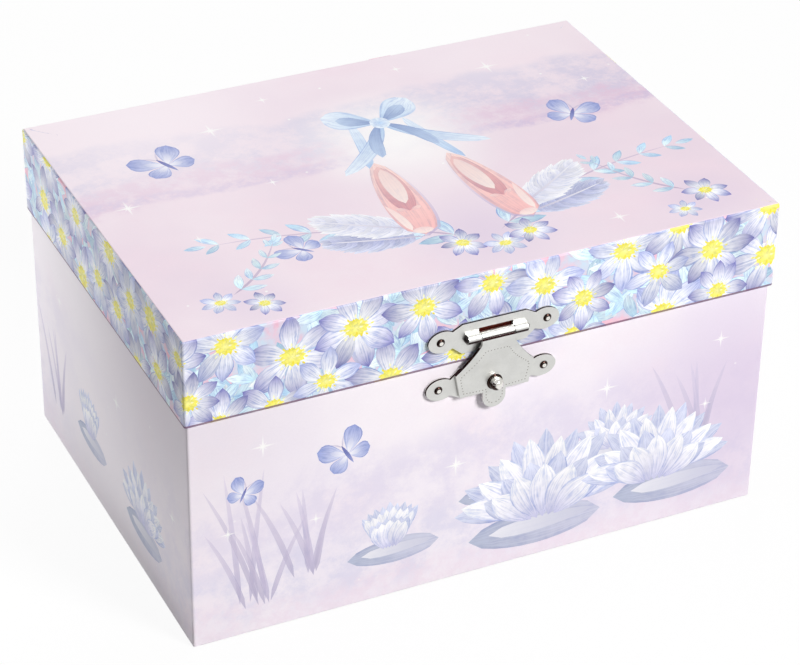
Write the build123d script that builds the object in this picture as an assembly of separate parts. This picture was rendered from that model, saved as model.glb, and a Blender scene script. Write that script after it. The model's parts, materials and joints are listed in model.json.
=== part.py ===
"""A musical jewellery box with a turning dancer, in millimetres.

The origin is the middle of the base's underside. +Z is up, -Y is the front and +X is the right of
someone who faces the box. The lid is shut, and the wind-up movement stands against the back wall.
"""

from build123d import *
import math
import os

# ---- Box: boards, papers and linings ------------------------------------------------------------
LID_WIDTH = 152.0
LID_DEPTH = 108.0
BOX_HEIGHT = 85.0
LID_HEIGHT = 22.7
LID_OVERHANG = 0.7
LID_GAP = 0.4
BOARD = 3.0
PAPER = 0.25
TURN_IN = 1.5
LINING = 0.6
LID_LINING = 0.8

CASE_WIDTH = LID_WIDTH - 2 * LID_OVERHANG
CASE_DEPTH = LID_DEPTH - 2 * LID_OVERHANG
LID_BOTTOM = BOX_HEIGHT - LID_HEIGHT
CASE_TOP = LID_BOTTOM - LID_GAP
CEILING = BOX_HEIGHT - PAPER - BOARD
FLOOR = PAPER + BOARD
CASE_INNER_X = CASE_WIDTH / 2 - PAPER - BOARD
CASE_INNER_Y = CASE_DEPTH / 2 - PAPER - BOARD
LID_INNER_X = LID_WIDTH / 2 - PAPER - BOARD
LID_INNER_Y = LID_DEPTH / 2 - PAPER - BOARD

# ---- Mirror ---------------------------------------------------------------------------------------
MIRROR_WIDTH = 112.0
MIRROR_DEPTH = 72.0
MIRROR = 1.2
BEZEL = 1.6
BEZEL_WALL = 2.5
MIRROR_FIT = 0.1

# ---- Compartments ---------------------------------------------------------------------------------
PARTITION = 2.0
MOVEMENT_ROOM = 3.8
DECK = 2.0
COVER = 0.5
STAGE_LIP = 5.0
DIVIDER = 2.0
DIVIDER_X = 16.0
DIVIDER_DROP = 15.9
SHELF = 2.0
SHELF_TOP = 24.0
ROLLS = 5
ROLL_HEIGHT = 14.0
ROLL_BASE = 4.0
ROLL_GAP = 0.8
ROLL_CLEARANCE = 0.4

# ---- Nails and screws -----------------------------------------------------------------------------
NAIL_HEAD = 1.1
NAIL_DOME = 0.55
NAIL_SHANK = 0.5
NAIL_LENGTH = 2.6
SCREW_HEAD = 2.6
SCREW_DOME = 1.3
SCREW_SHANK = 1.2
HEEL_SCREW_HEAD = 1.7
HEEL_SCREW_DOME = 0.85
HEEL_SCREW_LENGTH = 3.0

# ---- Hinges ---------------------------------------------------------------------------------------
HINGE_INSET = 31.0
HINGE_WIDTH = 16.0
LEAF = 0.6
LEAF_HEIGHT = 11.5
KNUCKLE = 1.1
KNUCKLE_GAP = 0.15
HINGE_PIN = 0.5
HINGE_STAND_OFF = 1.15
LEAF_RELIEF = 0.2
LEAF_NAIL_X = 5.0
LEAF_NAIL_Z = 6.9
PIN_PLAY = 0.05
HINGE_X = LID_WIDTH / 2 - HINGE_INSET
HINGE_Y = LID_DEPTH / 2 + HINGE_STAND_OFF
HINGE_Z = LID_BOTTOM - LID_GAP / 2

# ---- Latch: its heights are set out from the lid's lower edge -------------------------------------
LATCH_X = 0.2
HASP_SHIFT = 0.4
UPPER_EAR_RISE = 7.1
LOWER_EAR_DROP = 6.3
EAR_X = 13.7
EAR_MIDDLE = 13.1
EAR_LONG = 3.75
EAR_TALL = 2.85
NECK_X = 10.6
NECK_HALF = 2.2
SHOULDER_X = 8.2
PLATE_AWAY = 3.5
PLATE_NEAR = 4.3
PLATE = 0.9
HASP_AXIS_RISE = 6.6
HASP_STAND_OFF = 1.35
HASP_BARREL = 1.2
HASP_PIN = 0.6
HASP = 0.8
LUG = 1.25
LUG_X = (4.35, 7.7)
HASP_NECK_X = 4.2
HASP_NECK_RISE = 4.7
HASP_WAIST = (6.3, 1.4)
HASP_WING = (10.1, -3.0)
HASP_CORNER = (8.9, -9.3)
HASP_FLAT_DROP = 2.8
HASP_GAP = 0.15
TONGUE_HALF = 2.95
TONGUE_DROP = 13.9
WINDOW_RISE = 2.1
WINDOW_DROP = 1.5
BALL = 1.85
BALL_PROUD = 0.9
BALL_DROP = 6.9
BALL_SHANK = 1.2
BALL_NUB = 1.0
DIMPLE = 1.4
DIMPLE_DEPTH = 0.12
NUB_REACH = 0.05

# ---- Movement: teeth are counted, and one module sets every gear's size ---------------------------
MODULE = 0.5
CROWN_TEETH = 40
PINION_TEETH = 10
WORM_WHEEL_TEETH = 24
BEDPLATE = 2.5
BEDPLATE_X = (-14.0, 46.0)
BEDPLATE_Z = (4.0, 38.2)
DRUM_CLEARANCE = 0.3
DRUM_DEPTH = 11.0
DRUM_WALL = 0.8
DRUM_FLOOR = 1.0
DRUM_Z = 15.5
TOOTH_TIP_HALF = 0.17
TOOTH_ROOT_HALF = 0.42
ADDENDUM = 0.5
DEDENDUM = 0.6
CROWN_FACE = 1.0
PINION_FACE = 2.2
ARBOR = 2.0
ARBOR_CLEARANCE = 0.05
SPRING_TURNS = 7
SPRING_STRIP = 0.3
SPRING_PITCH = 0.72
SHAFT = 0.8
SHAFT_CLEARANCE = 0.04
BEARING = 1.2
BEARING_HALF = 2.2
CYLINDER = 6.0
CYLINDER_X = (13.6, 31.4)
CYLINDER_WALL = 0.7
MUSIC_PIN = 0.18
MUSIC_PIN_REACH = 0.35
PINS_PER_TRACK = 4
PIN_SPREAD_DEG = 137.5
TRACKS = 18
COMB = 1.0
COMB_GAP = 0.5
COMB_TOOTH = 10.0
COMB_HEEL = 6.0
COMB_SLOT = 0.25
WHEEL_X = (33.2, 34.8)
WORM_RADIUS = 1.5
WORM_CORE = 0.9
WORM_THREAD = 0.34
WORM_SINK = 0.07
WORM_TURNS = 4
FLY_Z = (25.2, 27.2)
FLY_RADIUS = 5.4
FLY_WING = 0.6
FLY_HUB = 1.4
GOVERNOR_FLOOR_Z = 5.4
GOVERNOR_TOP_Z = 33.0
BRACKET = 1.4
BRACKET_BACK = 1.05
SHAFT_SEAT = 1.05
SHAFT_FOOT = 0.35
SPINDLE_BEARING_Z = (28.0, 33.6)

# ---- Winding key ----------------------------------------------------------------------------------
KEY_HOLE = 4.4
KEY_BOSS = 3.2
KEY_STAND_OFF = 1.6
KEY_BOSS_LENGTH = 6.0
KEY_WING = 1.6
KEY_LOBE = 5.2
KEY_LOBE_X = 6.4
KEY_LOBE_HOLE = 2.4
KEY_WAIST = 3.4

# ---- Dancer ---------------------------------------------------------------------------------------
SPINDLE_HOLE = 2.8
COLLAR = 2.2
COLLAR_HEIGHT = 0.8
COLLAR_CLEARANCE = 0.3
COIL_RADIUS = 1.6
COIL_WIRE = 0.25
COIL_TURNS = 6
COIL_PITCH = 0.95
COIL_SINK = 0.15
HEAD_ROOM = 1.85

# The figure's joints and girths, as shares of its height.
LEG = ((0, 0, 0.03), (0.006, 0, 0.27), (0.014, 0, 0.50))
LEG_RADII = (0.017, 0.026, 0.036)
BENT_LEG = ((0.02, 0, 0.50), (0.15, -0.05, 0.36), (0.022, -0.022, 0.25))
BENT_LEG_RADII = (0.036, 0.026, 0.015)
ARM = ((0.052, 0, 0.735), (0.115, -0.01, 0.80), (0.105, -0.02, 0.89), (0.026, -0.03, 0.975))
ARM_RADII = (0.018, 0.014, 0.012, 0.009)
BODICE = ((0.042, 0.032, 0.54), (0.038, 0.028, 0.60), (0.056, 0.038, 0.67), (0.058, 0.030, 0.735))
WAIST_SHARE = 0.555
WAIST_GIRTH = 0.05
TUTU_REACH = 0.35
TUTU_DEPTH = 0.063
TUTU_RIM = 0.017
NECK_SHARE = 0.019
HEAD_Z = 0.825
HEAD_SHARE = 0.04
HEAD_SCALE = (0.88, 1.0, 1.15)
HAIR_BUN = (0, 0.03, 0.865)
BUN_SHARE = 0.022

# ---- Stop rod, press block and ribbon -------------------------------------------------------------
ROD = 0.6
ROD_X = 46.5
ROD_STAND_OFF = 1.95
ROD_HOLE = 1.2
BRAKE_GAP = 0.3
BRAKE_RADIUS = 1.2
BLOCK = 3.0
BLOCK_GAP = 0.5
RIBBON = 0.35
RIBBON_HALF = 3.5
RIBBON_Y = 14.0
RIBBON_BOW = 7.0
RIBBON_DROP = 10.3
RIBBON_RISE = 10.7

HASP_X = LATCH_X + HASP_SHIFT
UPPER_EAR_Z = LID_BOTTOM + UPPER_EAR_RISE
LOWER_EAR_Z = LID_BOTTOM - LOWER_EAR_DROP
HASP_AXIS_Z = LID_BOTTOM + HASP_AXIS_RISE
HASP_NECK_Z = LID_BOTTOM + HASP_NECK_RISE
HASP_FLAT_Z = LID_BOTTOM - HASP_FLAT_DROP
TONGUE_Z = LID_BOTTOM - TONGUE_DROP
BALL_Z = LID_BOTTOM - BALL_DROP

# Points on each turn where the gaps of the wound pieces are measured.
GAP_POINTS = 36

CROWN_RADIUS = MODULE * CROWN_TEETH / 2
PINION_RADIUS = MODULE * PINION_TEETH / 2
WHEEL_RADIUS = MODULE * WORM_WHEEL_TEETH / 2
WORM_PITCH = math.pi * MODULE
DRUM_RADIUS = CROWN_RADIUS + CROWN_FACE
BEDPLATE_FRONT = CASE_INNER_Y - BEDPLATE
DRUM_BACK = BEDPLATE_FRONT - DRUM_CLEARANCE
DRUM_FRONT = DRUM_BACK - DRUM_DEPTH
AXIS_Y = DRUM_FRONT - DEDENDUM - PINION_RADIUS
PARTITION_Y = AXIS_Y - CYLINDER - MUSIC_PIN_REACH - MOVEMENT_ROOM - PARTITION
ROD_Y = BEDPLATE_FRONT - ROD_STAND_OFF
WORM_Y = AXIS_Y + WHEEL_RADIUS + WORM_RADIUS
WORM_X = sum(WHEEL_X) / 2
COMB_TIP_Z = DRUM_Z + CYLINDER + COMB_GAP
COMB_TOP_Z = COMB_TIP_Z + COMB_TOOTH + COMB_HEEL
DECK_Z = COMB_TOP_Z + ROLL_CLEARANCE
STAGE_Z = DECK_Z + DECK + COVER
SPINDLE_PINION_Z = DRUM_Z + CROWN_RADIUS
COLLAR_Z = (STAGE_Z + COLLAR_CLEARANCE, STAGE_Z + COLLAR_CLEARANCE + COLLAR_HEIGHT)
COIL_Z = COLLAR_Z[1] + COIL_WIRE - COIL_SINK
FOOT_Z = COIL_Z + COIL_TURNS * COIL_PITCH + COIL_WIRE - COIL_SINK
FIGURE_HEIGHT = CEILING - LID_LINING - MIRROR - HEAD_ROOM - FOOT_Z
WAIST_Z = FOOT_Z + FIGURE_HEIGHT * WAIST_SHARE
WAIST_RADIUS = FIGURE_HEIGHT * WAIST_GIRTH
TUTU_RADIUS = FIGURE_HEIGHT * TUTU_REACH
TUTU_THICK = FIGURE_HEIGHT * TUTU_DEPTH
TUTU_EDGE = FIGURE_HEIGHT * TUTU_RIM


# ---- Small helpers --------------------------------------------------------------------------------
def spread(half, centre=0.0):
    """The (low, high) pair that reaches half to each side of a centre."""
    return (centre - half, centre + half)


def block(x, y, z):
    """A cuboid between three (low, high) pairs."""
    size = [high - low for low, high in (x, y, z)]
    return Pos(x[0], y[0], z[0]) * Box(*size, align=(Align.MIN,) * 3)


def frame(half_x, half_y, wall, z):
    """A rectangular ring of one wall thickness."""
    outer = block(spread(half_x), spread(half_y), z)
    return outer - block(spread(half_x - wall), spread(half_y - wall), z)


def rod(start, end, radius):
    """A round bar between two points."""
    way = Vector(*end) - Vector(*start)
    bar = Cylinder(radius, way.length, align=(Align.CENTER, Align.CENTER, Align.MIN))
    return Plane(origin=start, z_dir=way) * bar


def rod_x(y, z, radius, x):
    """A round bar along X, over a (low, high) pair."""
    return rod((x[0], y, z), (x[1], y, z), radius)


def rod_y(x, z, radius, y):
    """A round bar along Y, over a (low, high) pair."""
    return rod((x, y[0], z), (x, y[1], z), radius)


def rod_z(x, y, radius, z):
    """A round bar along Z, over a (low, high) pair."""
    return rod((x, y, z[0]), (x, y, z[1]), radius)


def front_face(sketch, back_y, depth):
    """A sketch drawn in (X, Z), extruded from back_y towards the front."""
    plane = Plane(origin=(0, back_y, 0), x_dir=(1, 0, 0), z_dir=(0, -1, 0))
    return extrude(plane * sketch, depth)


def dome(radius, rise):
    """A low dome that stands on the XY plane."""
    sphere = (radius**2 + rise**2) / (2 * rise)
    cap = Pos(0, 0, rise - sphere) * Sphere(sphere)
    return cap & block(spread(radius), spread(radius), (0, rise))


def stud(at, out, head, rise, shank, length):
    """A domed nail or screw: the underside of its head is at a point, and the head faces out."""
    pin = Cylinder(shank, length, align=(Align.CENTER, Align.CENTER, Align.MAX))
    return Plane(origin=at, z_dir=out) * (dome(head, rise) + pin)


def nails(points, out):
    """One group of like nails."""
    return [stud(at, out, NAIL_HEAD, NAIL_DOME, NAIL_SHANK, NAIL_LENGTH) for at in points]


def cut(shape, tools):
    """A shape less every tool."""
    for tool in tools:
        shape = shape - tool
    return shape


# ---- Boards and papers ----------------------------------------------------------------------------
def side_boards(half_x, half_y, z):
    """Four upright boards: front and back run the full width, and the ends fit between them."""
    inner_y = half_y - BOARD
    return {
        "front_board": block(spread(half_x), (-half_y, -inner_y), z),
        "back_board": block(spread(half_x), (inner_y, half_y), z),
        "left_board": block((-half_x, BOARD - half_x), spread(inner_y), z),
        "right_board": block((half_x - BOARD, half_x), spread(inner_y), z),
    }


def paper_band(half_x, half_y, rim, foot):
    """Paper round a frame of boards, folded over the rim and a little way in."""
    way = math.copysign(1, foot - rim)
    skin = frame(half_x, half_y, PAPER, sorted((rim, foot)))
    edge = frame(half_x, half_y, BOARD + 2 * PAPER, sorted((rim, rim + way * PAPER)))
    inner_x = half_x - PAPER - BOARD
    inner_y = half_y - PAPER - BOARD
    fold = frame(inner_x, inner_y, PAPER, sorted((rim, rim + way * TURN_IN)))
    return skin + edge + fold


def case_shell(back_holes, front_holes):
    """The case's boards and papers."""
    half_x = CASE_WIDTH / 2
    half_y = CASE_DEPTH / 2
    boards = side_boards(half_x - PAPER, half_y - PAPER, (PAPER, CASE_TOP - PAPER))
    shell = {f"case_{name}": board for name, board in boards.items()}
    shell["case_back_board"] = cut(shell["case_back_board"], back_holes)
    shell["case_front_board"] = cut(shell["case_front_board"], front_holes)
    shell["case_floor_board"] = block(spread(CASE_INNER_X), spread(CASE_INNER_Y), (PAPER, FLOOR))
    wrap = paper_band(half_x, half_y, CASE_TOP, PAPER)
    shell["case_wrap_paper"] = cut(wrap, [*back_holes, *front_holes])
    shell["base_paper"] = block(spread(half_x), spread(half_y), (0, PAPER))
    return shell


def lid_shell(back_holes, front_holes):
    """The lid's boards and papers."""
    half_x = LID_WIDTH / 2
    half_y = LID_DEPTH / 2
    boards = side_boards(half_x - PAPER, half_y - PAPER, (LID_BOTTOM + PAPER, CEILING))
    shell = {f"lid_{name}": board for name, board in boards.items()}
    shell["lid_back_board"] = cut(shell["lid_back_board"], back_holes)
    shell["lid_front_board"] = cut(shell["lid_front_board"], front_holes)
    top = (CEILING, BOX_HEIGHT - PAPER)
    shell["lid_top_board"] = block(spread(half_x - PAPER), spread(half_y - PAPER), top)
    shell["lid_top_paper"] = block(spread(half_x), spread(half_y), (top[1], BOX_HEIGHT))
    band = paper_band(half_x, half_y, LID_BOTTOM, top[1])
    shell["lid_band_paper"] = cut(band, [*back_holes, *front_holes])
    return shell


def lid_inside():
    """The lid's lining, its mirror and bezel, and the block that presses the stop rod."""
    low = LID_BOTTOM + TURN_IN
    room = block(spread(LID_INNER_X), spread(LID_INNER_Y), (low, CEILING))
    wall_x = LID_INNER_X - LID_LINING
    wall_y = LID_INNER_Y - LID_LINING
    under = CEILING - LID_LINING
    lining = room - block(spread(wall_x), spread(wall_y), (low, under))
    half_x = MIRROR_WIDTH / 2
    half_y = MIRROR_DEPTH / 2
    mirror = block(spread(half_x), spread(half_y), (under - MIRROR, under))
    bezel_z = (under - BEZEL, under)
    bezel = frame(half_x + BEZEL_WALL, half_y + BEZEL_WALL, BEZEL_WALL - MIRROR_FIT, bezel_z)
    press = block(spread(BLOCK, ROD_X), spread(BLOCK, ROD_Y), (LID_BOTTOM + BLOCK_GAP, under))
    return {
        "lid_lining": lining,
        "lid_mirror": mirror,
        "mirror_bezel": bezel,
        "lid_press_block": press,
    }


# ---- Compartments ---------------------------------------------------------------------------------
def compartments():
    """The linings, the walls between the compartments, and the stage over the movement."""
    partition_back = PARTITION_Y + PARTITION
    rim = CASE_TOP - TURN_IN
    tray_x = spread(CASE_INNER_X)
    tray_y = (-CASE_INNER_Y, PARTITION_Y)
    tray = block(tray_x, tray_y, (FLOOR, rim))
    bare_y = (tray_y[0] + LINING, tray_y[1] - LINING)
    tray -= block(spread(CASE_INNER_X - LINING), bare_y, (FLOOR + LINING, rim))
    wall_top = STAGE_Z + STAGE_LIP
    tray -= block(spread(CASE_INNER_X - LINING), (bare_y[1], PARTITION_Y), (wall_top, rim))

    hole = rod_z(0, AXIS_Y, SPINDLE_HOLE, (DECK_Z, STAGE_Z))
    rod_way = rod_z(ROD_X, ROD_Y, ROD_HOLE, (DECK_Z, STAGE_Z))
    stage_x = spread(CASE_INNER_X)
    deck = block(stage_x, (partition_back, CASE_INNER_Y), (DECK_Z, DECK_Z + DECK))
    inner_x = CASE_INNER_X - LINING
    inner_y = CASE_INNER_Y - LINING
    lining = block(stage_x, (partition_back, CASE_INNER_Y), (DECK_Z + DECK, rim))
    lining -= block(spread(inner_x), (partition_back, inner_y), (STAGE_Z, rim))

    front = -CASE_INNER_Y + LINING
    divider_z = (FLOOR + LINING, CASE_TOP - DIVIDER_DROP)
    divider = block(spread(DIVIDER / 2, DIVIDER_X), (front, bare_y[1]), divider_z)
    shelf_x = (DIVIDER_X + DIVIDER / 2, inner_x)
    shelf = block(shelf_x, (front, bare_y[1]), (SHELF_TOP - SHELF, SHELF_TOP))
    return {
        "tray_lining": tray,
        "partition_board": block(stage_x, (PARTITION_Y, partition_back), (FLOOR, wall_top)),
        "stage_deck": cut(deck, [hole, rod_way]),
        "stage_lining": cut(lining, [hole, rod_way]),
        "tray_divider": divider,
        "ring_shelf": shelf,
        "ring_roll": ring_roll(shelf_x, (front, bare_y[1])),
    }


def ring_roll(x, y):
    """The ring cushion: soft rolls side by side on one base, each with a round crown."""
    low_x = x[0] + ROLL_CLEARANCE
    high_x = x[1] - ROLL_CLEARANCE
    low_y = y[0] + ROLL_CLEARANCE
    high_y = y[1] - ROLL_CLEARANCE
    pitch = (high_y - low_y) / ROLLS
    half = (pitch - ROLL_GAP) / 2
    cushion = block((low_x, high_x), (low_y, high_y), (SHELF_TOP, SHELF_TOP + ROLL_BASE))
    straight = ROLL_HEIGHT - half
    for number in range(ROLLS):
        middle = low_y + (number + 0.5) * pitch
        upright = (SHELF_TOP + ROLL_BASE / 2, SHELF_TOP + straight)
        cushion += block((low_x, high_x), spread(half, middle), upright)
        cushion += rod_x(middle, SHELF_TOP + straight, half, (low_x, high_x))
    return cushion & block((low_x, high_x), (low_y, high_y), (SHELF_TOP, SHELF_TOP + ROLL_HEIGHT))


# ---- Hinges ---------------------------------------------------------------------------------------
def hinge_nails(height, wall_y):
    """The four nails of one row of leaves, on the leaves' outer face."""
    xs = [side * HINGE_X + offset for side in (-1, 1) for offset in (-LEAF_NAIL_X, LEAF_NAIL_X)]
    return nails([(x, wall_y + LEAF, height) for x in xs], (0, 1, 0))


def hinge_knuckle(x, bore):
    """One knuckle on the hinge's axis, over an X range."""
    return rod_x(HINGE_Y, HINGE_Z, KNUCKLE, x) - rod_x(HINGE_Y, HINGE_Z, bore, x)


def hinge(centre):
    """One butt hinge: the case leaf holds the pin in its outer knuckles."""
    third = HINGE_WIDTH / 6
    outer = [
        (centre - HINGE_WIDTH / 2, centre - third - KNUCKLE_GAP),
        (centre + third + KNUCKLE_GAP, centre + HINGE_WIDTH / 2),
    ]
    middle = spread(third, centre)
    width = spread(HINGE_WIDTH / 2, centre)
    pin_hole = rod_x(HINGE_Y, HINGE_Z, HINGE_PIN, width)
    case_back = CASE_DEPTH / 2
    leaf_top = CASE_TOP - LEAF_RELIEF
    case_leaf = block(width, (case_back, case_back + LEAF), (CASE_TOP - LEAF_HEIGHT, leaf_top))
    for x in outer:
        web = block(x, (case_back, HINGE_Y), (HINGE_Z - KNUCKLE, leaf_top))
        case_leaf += web + hinge_knuckle(x, HINGE_PIN)
    case_leaf -= pin_hole

    lid_back = LID_DEPTH / 2
    leaf_low = HINGE_Z + KNUCKLE + LEAF_RELIEF
    lid_leaf = block(width, (lid_back, lid_back + LEAF), (leaf_low, LID_BOTTOM + LEAF_HEIGHT))
    web = block(middle, (lid_back, HINGE_Y), (LID_BOTTOM, HINGE_Z + KNUCKLE))
    web += block(middle, (lid_back, lid_back + LEAF), (LID_BOTTOM, leaf_low))
    bore = HINGE_PIN + PIN_PLAY
    lid_leaf += web + hinge_knuckle(middle, bore)
    lid_leaf -= rod_x(HINGE_Y, HINGE_Z, bore, middle)
    return case_leaf, lid_leaf, rod_x(HINGE_Y, HINGE_Z, HINGE_PIN, width)


def hinges(case_nails, lid_nails):
    """Both hinges, with the nails' holes in their leaves."""
    parts, pins = {}, []
    for side, name in ((-1, "left"), (1, "right")):
        case_leaf, lid_leaf, pin = hinge(side * HINGE_X)
        parts[f"{name}_hinge_case_leaf"] = cut(case_leaf, case_nails)
        parts[f"{name}_hinge_lid_leaf"] = cut(lid_leaf, lid_nails)
        pins.append(pin)
    parts["hinge_pins"] = Compound(pins)
    return parts


# ---- Latch ----------------------------------------------------------------------------------------
def latch_nails(height, face_y):
    """The two nails of one latch plate, on the plate's outer face."""
    xs = (LATCH_X - EAR_X, LATCH_X + EAR_X)
    return nails([(x, face_y - PLATE, height) for x in xs], (0, -1, 0))


def plate_outline(away):
    """A latch plate's outline about the line of its ears; away is +1 if its back edge is on top."""
    half = [
        (0, away * PLATE_AWAY),
        (SHOULDER_X, away * PLATE_AWAY),
        (NECK_X, away * NECK_HALF),
        (NECK_X, -away * NECK_HALF),
        (SHOULDER_X, -away * PLATE_NEAR),
        (0, -away * PLATE_NEAR),
    ]
    mirrored = [(-x, z) for x, z in reversed(half[1:-1])]
    outline = make_face(Polyline(*half, *mirrored, close=True))
    outline += Rectangle(2 * EAR_X, 2 * NECK_HALF)
    for side in (-1, 1):
        outline += Pos(side * EAR_MIDDLE, 0) * Ellipse(EAR_LONG, EAR_TALL)
    return outline


def hasp_outline():
    """The hasp about the lid's lower edge: a narrow neck, two wings and a tongue below."""
    round_z = TONGUE_HALF - TONGUE_DROP
    right = Curve() + [
        Line((HASP_NECK_X, HASP_AXIS_RISE), (HASP_NECK_X, HASP_NECK_RISE)),
        ThreePointArc((HASP_NECK_X, HASP_NECK_RISE), HASP_WAIST, HASP_WING),
        Line(HASP_WING, HASP_CORNER),
        Line(HASP_CORNER, (TONGUE_HALF, HASP_CORNER[1])),
        Line((TONGUE_HALF, HASP_CORNER[1]), (TONGUE_HALF, round_z)),
    ]
    foot = ThreePointArc((TONGUE_HALF, round_z), (0, -TONGUE_DROP), (-TONGUE_HALF, round_z))
    top = Line((HASP_NECK_X, HASP_AXIS_RISE), (-HASP_NECK_X, HASP_AXIS_RISE))
    return make_face(Wire([*right.edges(), foot, *mirror(right, Plane.YZ).edges(), top]))


def latch_hasp(axis_y):
    """The hasp: a barrel on the pin, a sloping leaf and a flat end with the ball's hole."""
    outer = axis_y - HASP_BARREL
    flat = -CASE_DEPTH / 2 - PLATE - HASP_GAP
    side = [
        (outer, HASP_AXIS_Z),
        (outer, HASP_NECK_Z),
        (flat - HASP, HASP_FLAT_Z),
        (flat - HASP, TONGUE_Z),
        (flat, TONGUE_Z),
        (flat, HASP_FLAT_Z),
        (outer + HASP, HASP_NECK_Z),
        (outer + HASP, HASP_AXIS_Z),
    ]
    strip = extrude(Plane.YZ * make_face(Polyline(*side, close=True)), HASP_WING[0], both=True)
    outline = front_face(Pos(0, LID_BOTTOM) * hasp_outline(), 0, LID_DEPTH)
    leaf = Pos(HASP_X, 0, 0) * (strip & outline)
    leaf += rod_x(axis_y, HASP_AXIS_Z, HASP_BARREL, spread(HASP_NECK_X, HASP_X))
    leaf -= rod_x(axis_y, HASP_AXIS_Z, HASP_PIN + PIN_PLAY, spread(HASP_NECK_X, HASP_X))
    return leaf - rod_y(HASP_X, BALL_Z, BALL_SHANK, (flat - HASP, flat)), flat


def latch_ball(flat):
    """The ball riveted through the hasp; the nub behind it snaps into the lower plate's dimple."""
    face = flat - HASP
    centre = face - BALL_PROUD
    ball = Pos(HASP_X, centre, BALL_Z) * Sphere(BALL)
    ball &= block(spread(BALL, HASP_X), (centre - BALL, face), spread(BALL, BALL_Z))
    ball += rod_y(HASP_X, BALL_Z, BALL_SHANK, (face, flat))
    return ball + rod_y(HASP_X, BALL_Z, BALL_NUB, (flat, flat + HASP_GAP + NUB_REACH))


def latch(upper_nails, lower_nails):
    """The latch: two nailed plates, and a hasp that turns on a pin in the upper one."""
    lid_face = -LID_DEPTH / 2
    case_face = -CASE_DEPTH / 2
    axis_y = lid_face - HASP_STAND_OFF
    upper = front_face(Pos(LATCH_X, UPPER_EAR_Z) * plate_outline(1), lid_face, PLATE)
    window_z = (HASP_AXIS_Z - WINDOW_DROP, HASP_AXIS_Z + WINDOW_RISE)
    upper -= block(spread(LUG_X[0], HASP_X), (lid_face - PLATE, lid_face), window_z)
    for side in (-1, 1):
        x = sorted((HASP_X + side * LUG_X[0], HASP_X + side * LUG_X[1]))
        upper += rod_x(axis_y, HASP_AXIS_Z, LUG, x)
        upper += block(x, (axis_y, lid_face), spread(LUG, HASP_AXIS_Z))
    pin_x = spread(LUG_X[1], HASP_X)
    pin = rod_x(axis_y, HASP_AXIS_Z, HASP_PIN, pin_x)
    upper -= pin
    lower = front_face(Pos(LATCH_X, LOWER_EAR_Z) * plate_outline(-1), case_face, PLATE)
    lower_face = case_face - PLATE
    lower -= rod_y(HASP_X, BALL_Z, DIMPLE, (lower_face, lower_face + DIMPLE_DEPTH))
    hasp, flat = latch_hasp(axis_y)
    return {
        "latch_upper_plate": cut(upper, upper_nails),
        "latch_pin": pin,
        "latch_hasp": hasp,
        "latch_ball": latch_ball(flat),
        "latch_lower_plate": cut(lower, lower_nails),
    }


# ---- Gears ----------------------------------------------------------------------------------------
def tooth(tip_radius, root_radius):
    """One straight-sided tooth on the +X side of a gear's centre."""
    return make_face(
        Polyline(
            (root_radius, -TOOTH_ROOT_HALF),
            (tip_radius, -TOOTH_TIP_HALF),
            (tip_radius, TOOTH_TIP_HALF),
            (root_radius, TOOTH_ROOT_HALF),
            close=True,
        )
    )


def gear(teeth, bore, face, first_deg):
    """A spur gear about Z, with one tooth at an angle."""
    pitch_radius = MODULE * teeth / 2
    root = pitch_radius - DEDENDUM
    blank = Circle(root)
    for number in range(teeth):
        turn = first_deg + number * 360 / teeth
        blank += Rot(0, 0, turn) * tooth(pitch_radius + ADDENDUM, root - TOOTH_ROOT_HALF)
    return extrude(blank - Circle(bore), face)


def crown():
    """The barrel's crown: teeth that stand on the drum's front rim, with a gap at 0 degrees."""
    half = CROWN_FACE
    section = make_face(
        Polyline(
            (-TOOTH_ROOT_HALF, 0),
            (-TOOTH_TIP_HALF, ADDENDUM + DEDENDUM),
            (TOOTH_TIP_HALF, ADDENDUM + DEDENDUM),
            (TOOTH_ROOT_HALF, 0),
            close=True,
        )
    )
    inner = Plane(origin=(CROWN_RADIUS - half, 0, 0), x_dir=(0, 1, 0), z_dir=(1, 0, 0))
    bar = extrude(inner * section, 2 * half)
    step = 360 / CROWN_TEETH
    return [Rot(0, 0, (number + 0.5) * step) * bar for number in range(CROWN_TEETH)]


# ---- Movement -------------------------------------------------------------------------------------
def facing_front(shape):
    """Turns a shape about Z so that its +Z faces the front, centred on the barrel's axis."""
    return Plane(origin=(0, DRUM_FRONT, DRUM_Z), x_dir=(1, 0, 0), z_dir=(0, -1, 0)) * shape


def spring_barrel():
    """The drum with its crown of teeth; its open front shows the coiled mainspring."""
    drum = rod_y(0, DRUM_Z, DRUM_RADIUS, (DRUM_FRONT, DRUM_BACK))
    room = (DRUM_FRONT, DRUM_BACK - DRUM_FLOOR)
    drum -= rod_y(0, DRUM_Z, CROWN_RADIUS - CROWN_FACE - DRUM_WALL, room)
    drum -= rod_y(0, DRUM_Z, ARBOR + ARBOR_CLEARANCE, (DRUM_FRONT, DRUM_BACK))
    for piece in crown():
        drum += facing_front(piece)
    return drum


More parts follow.
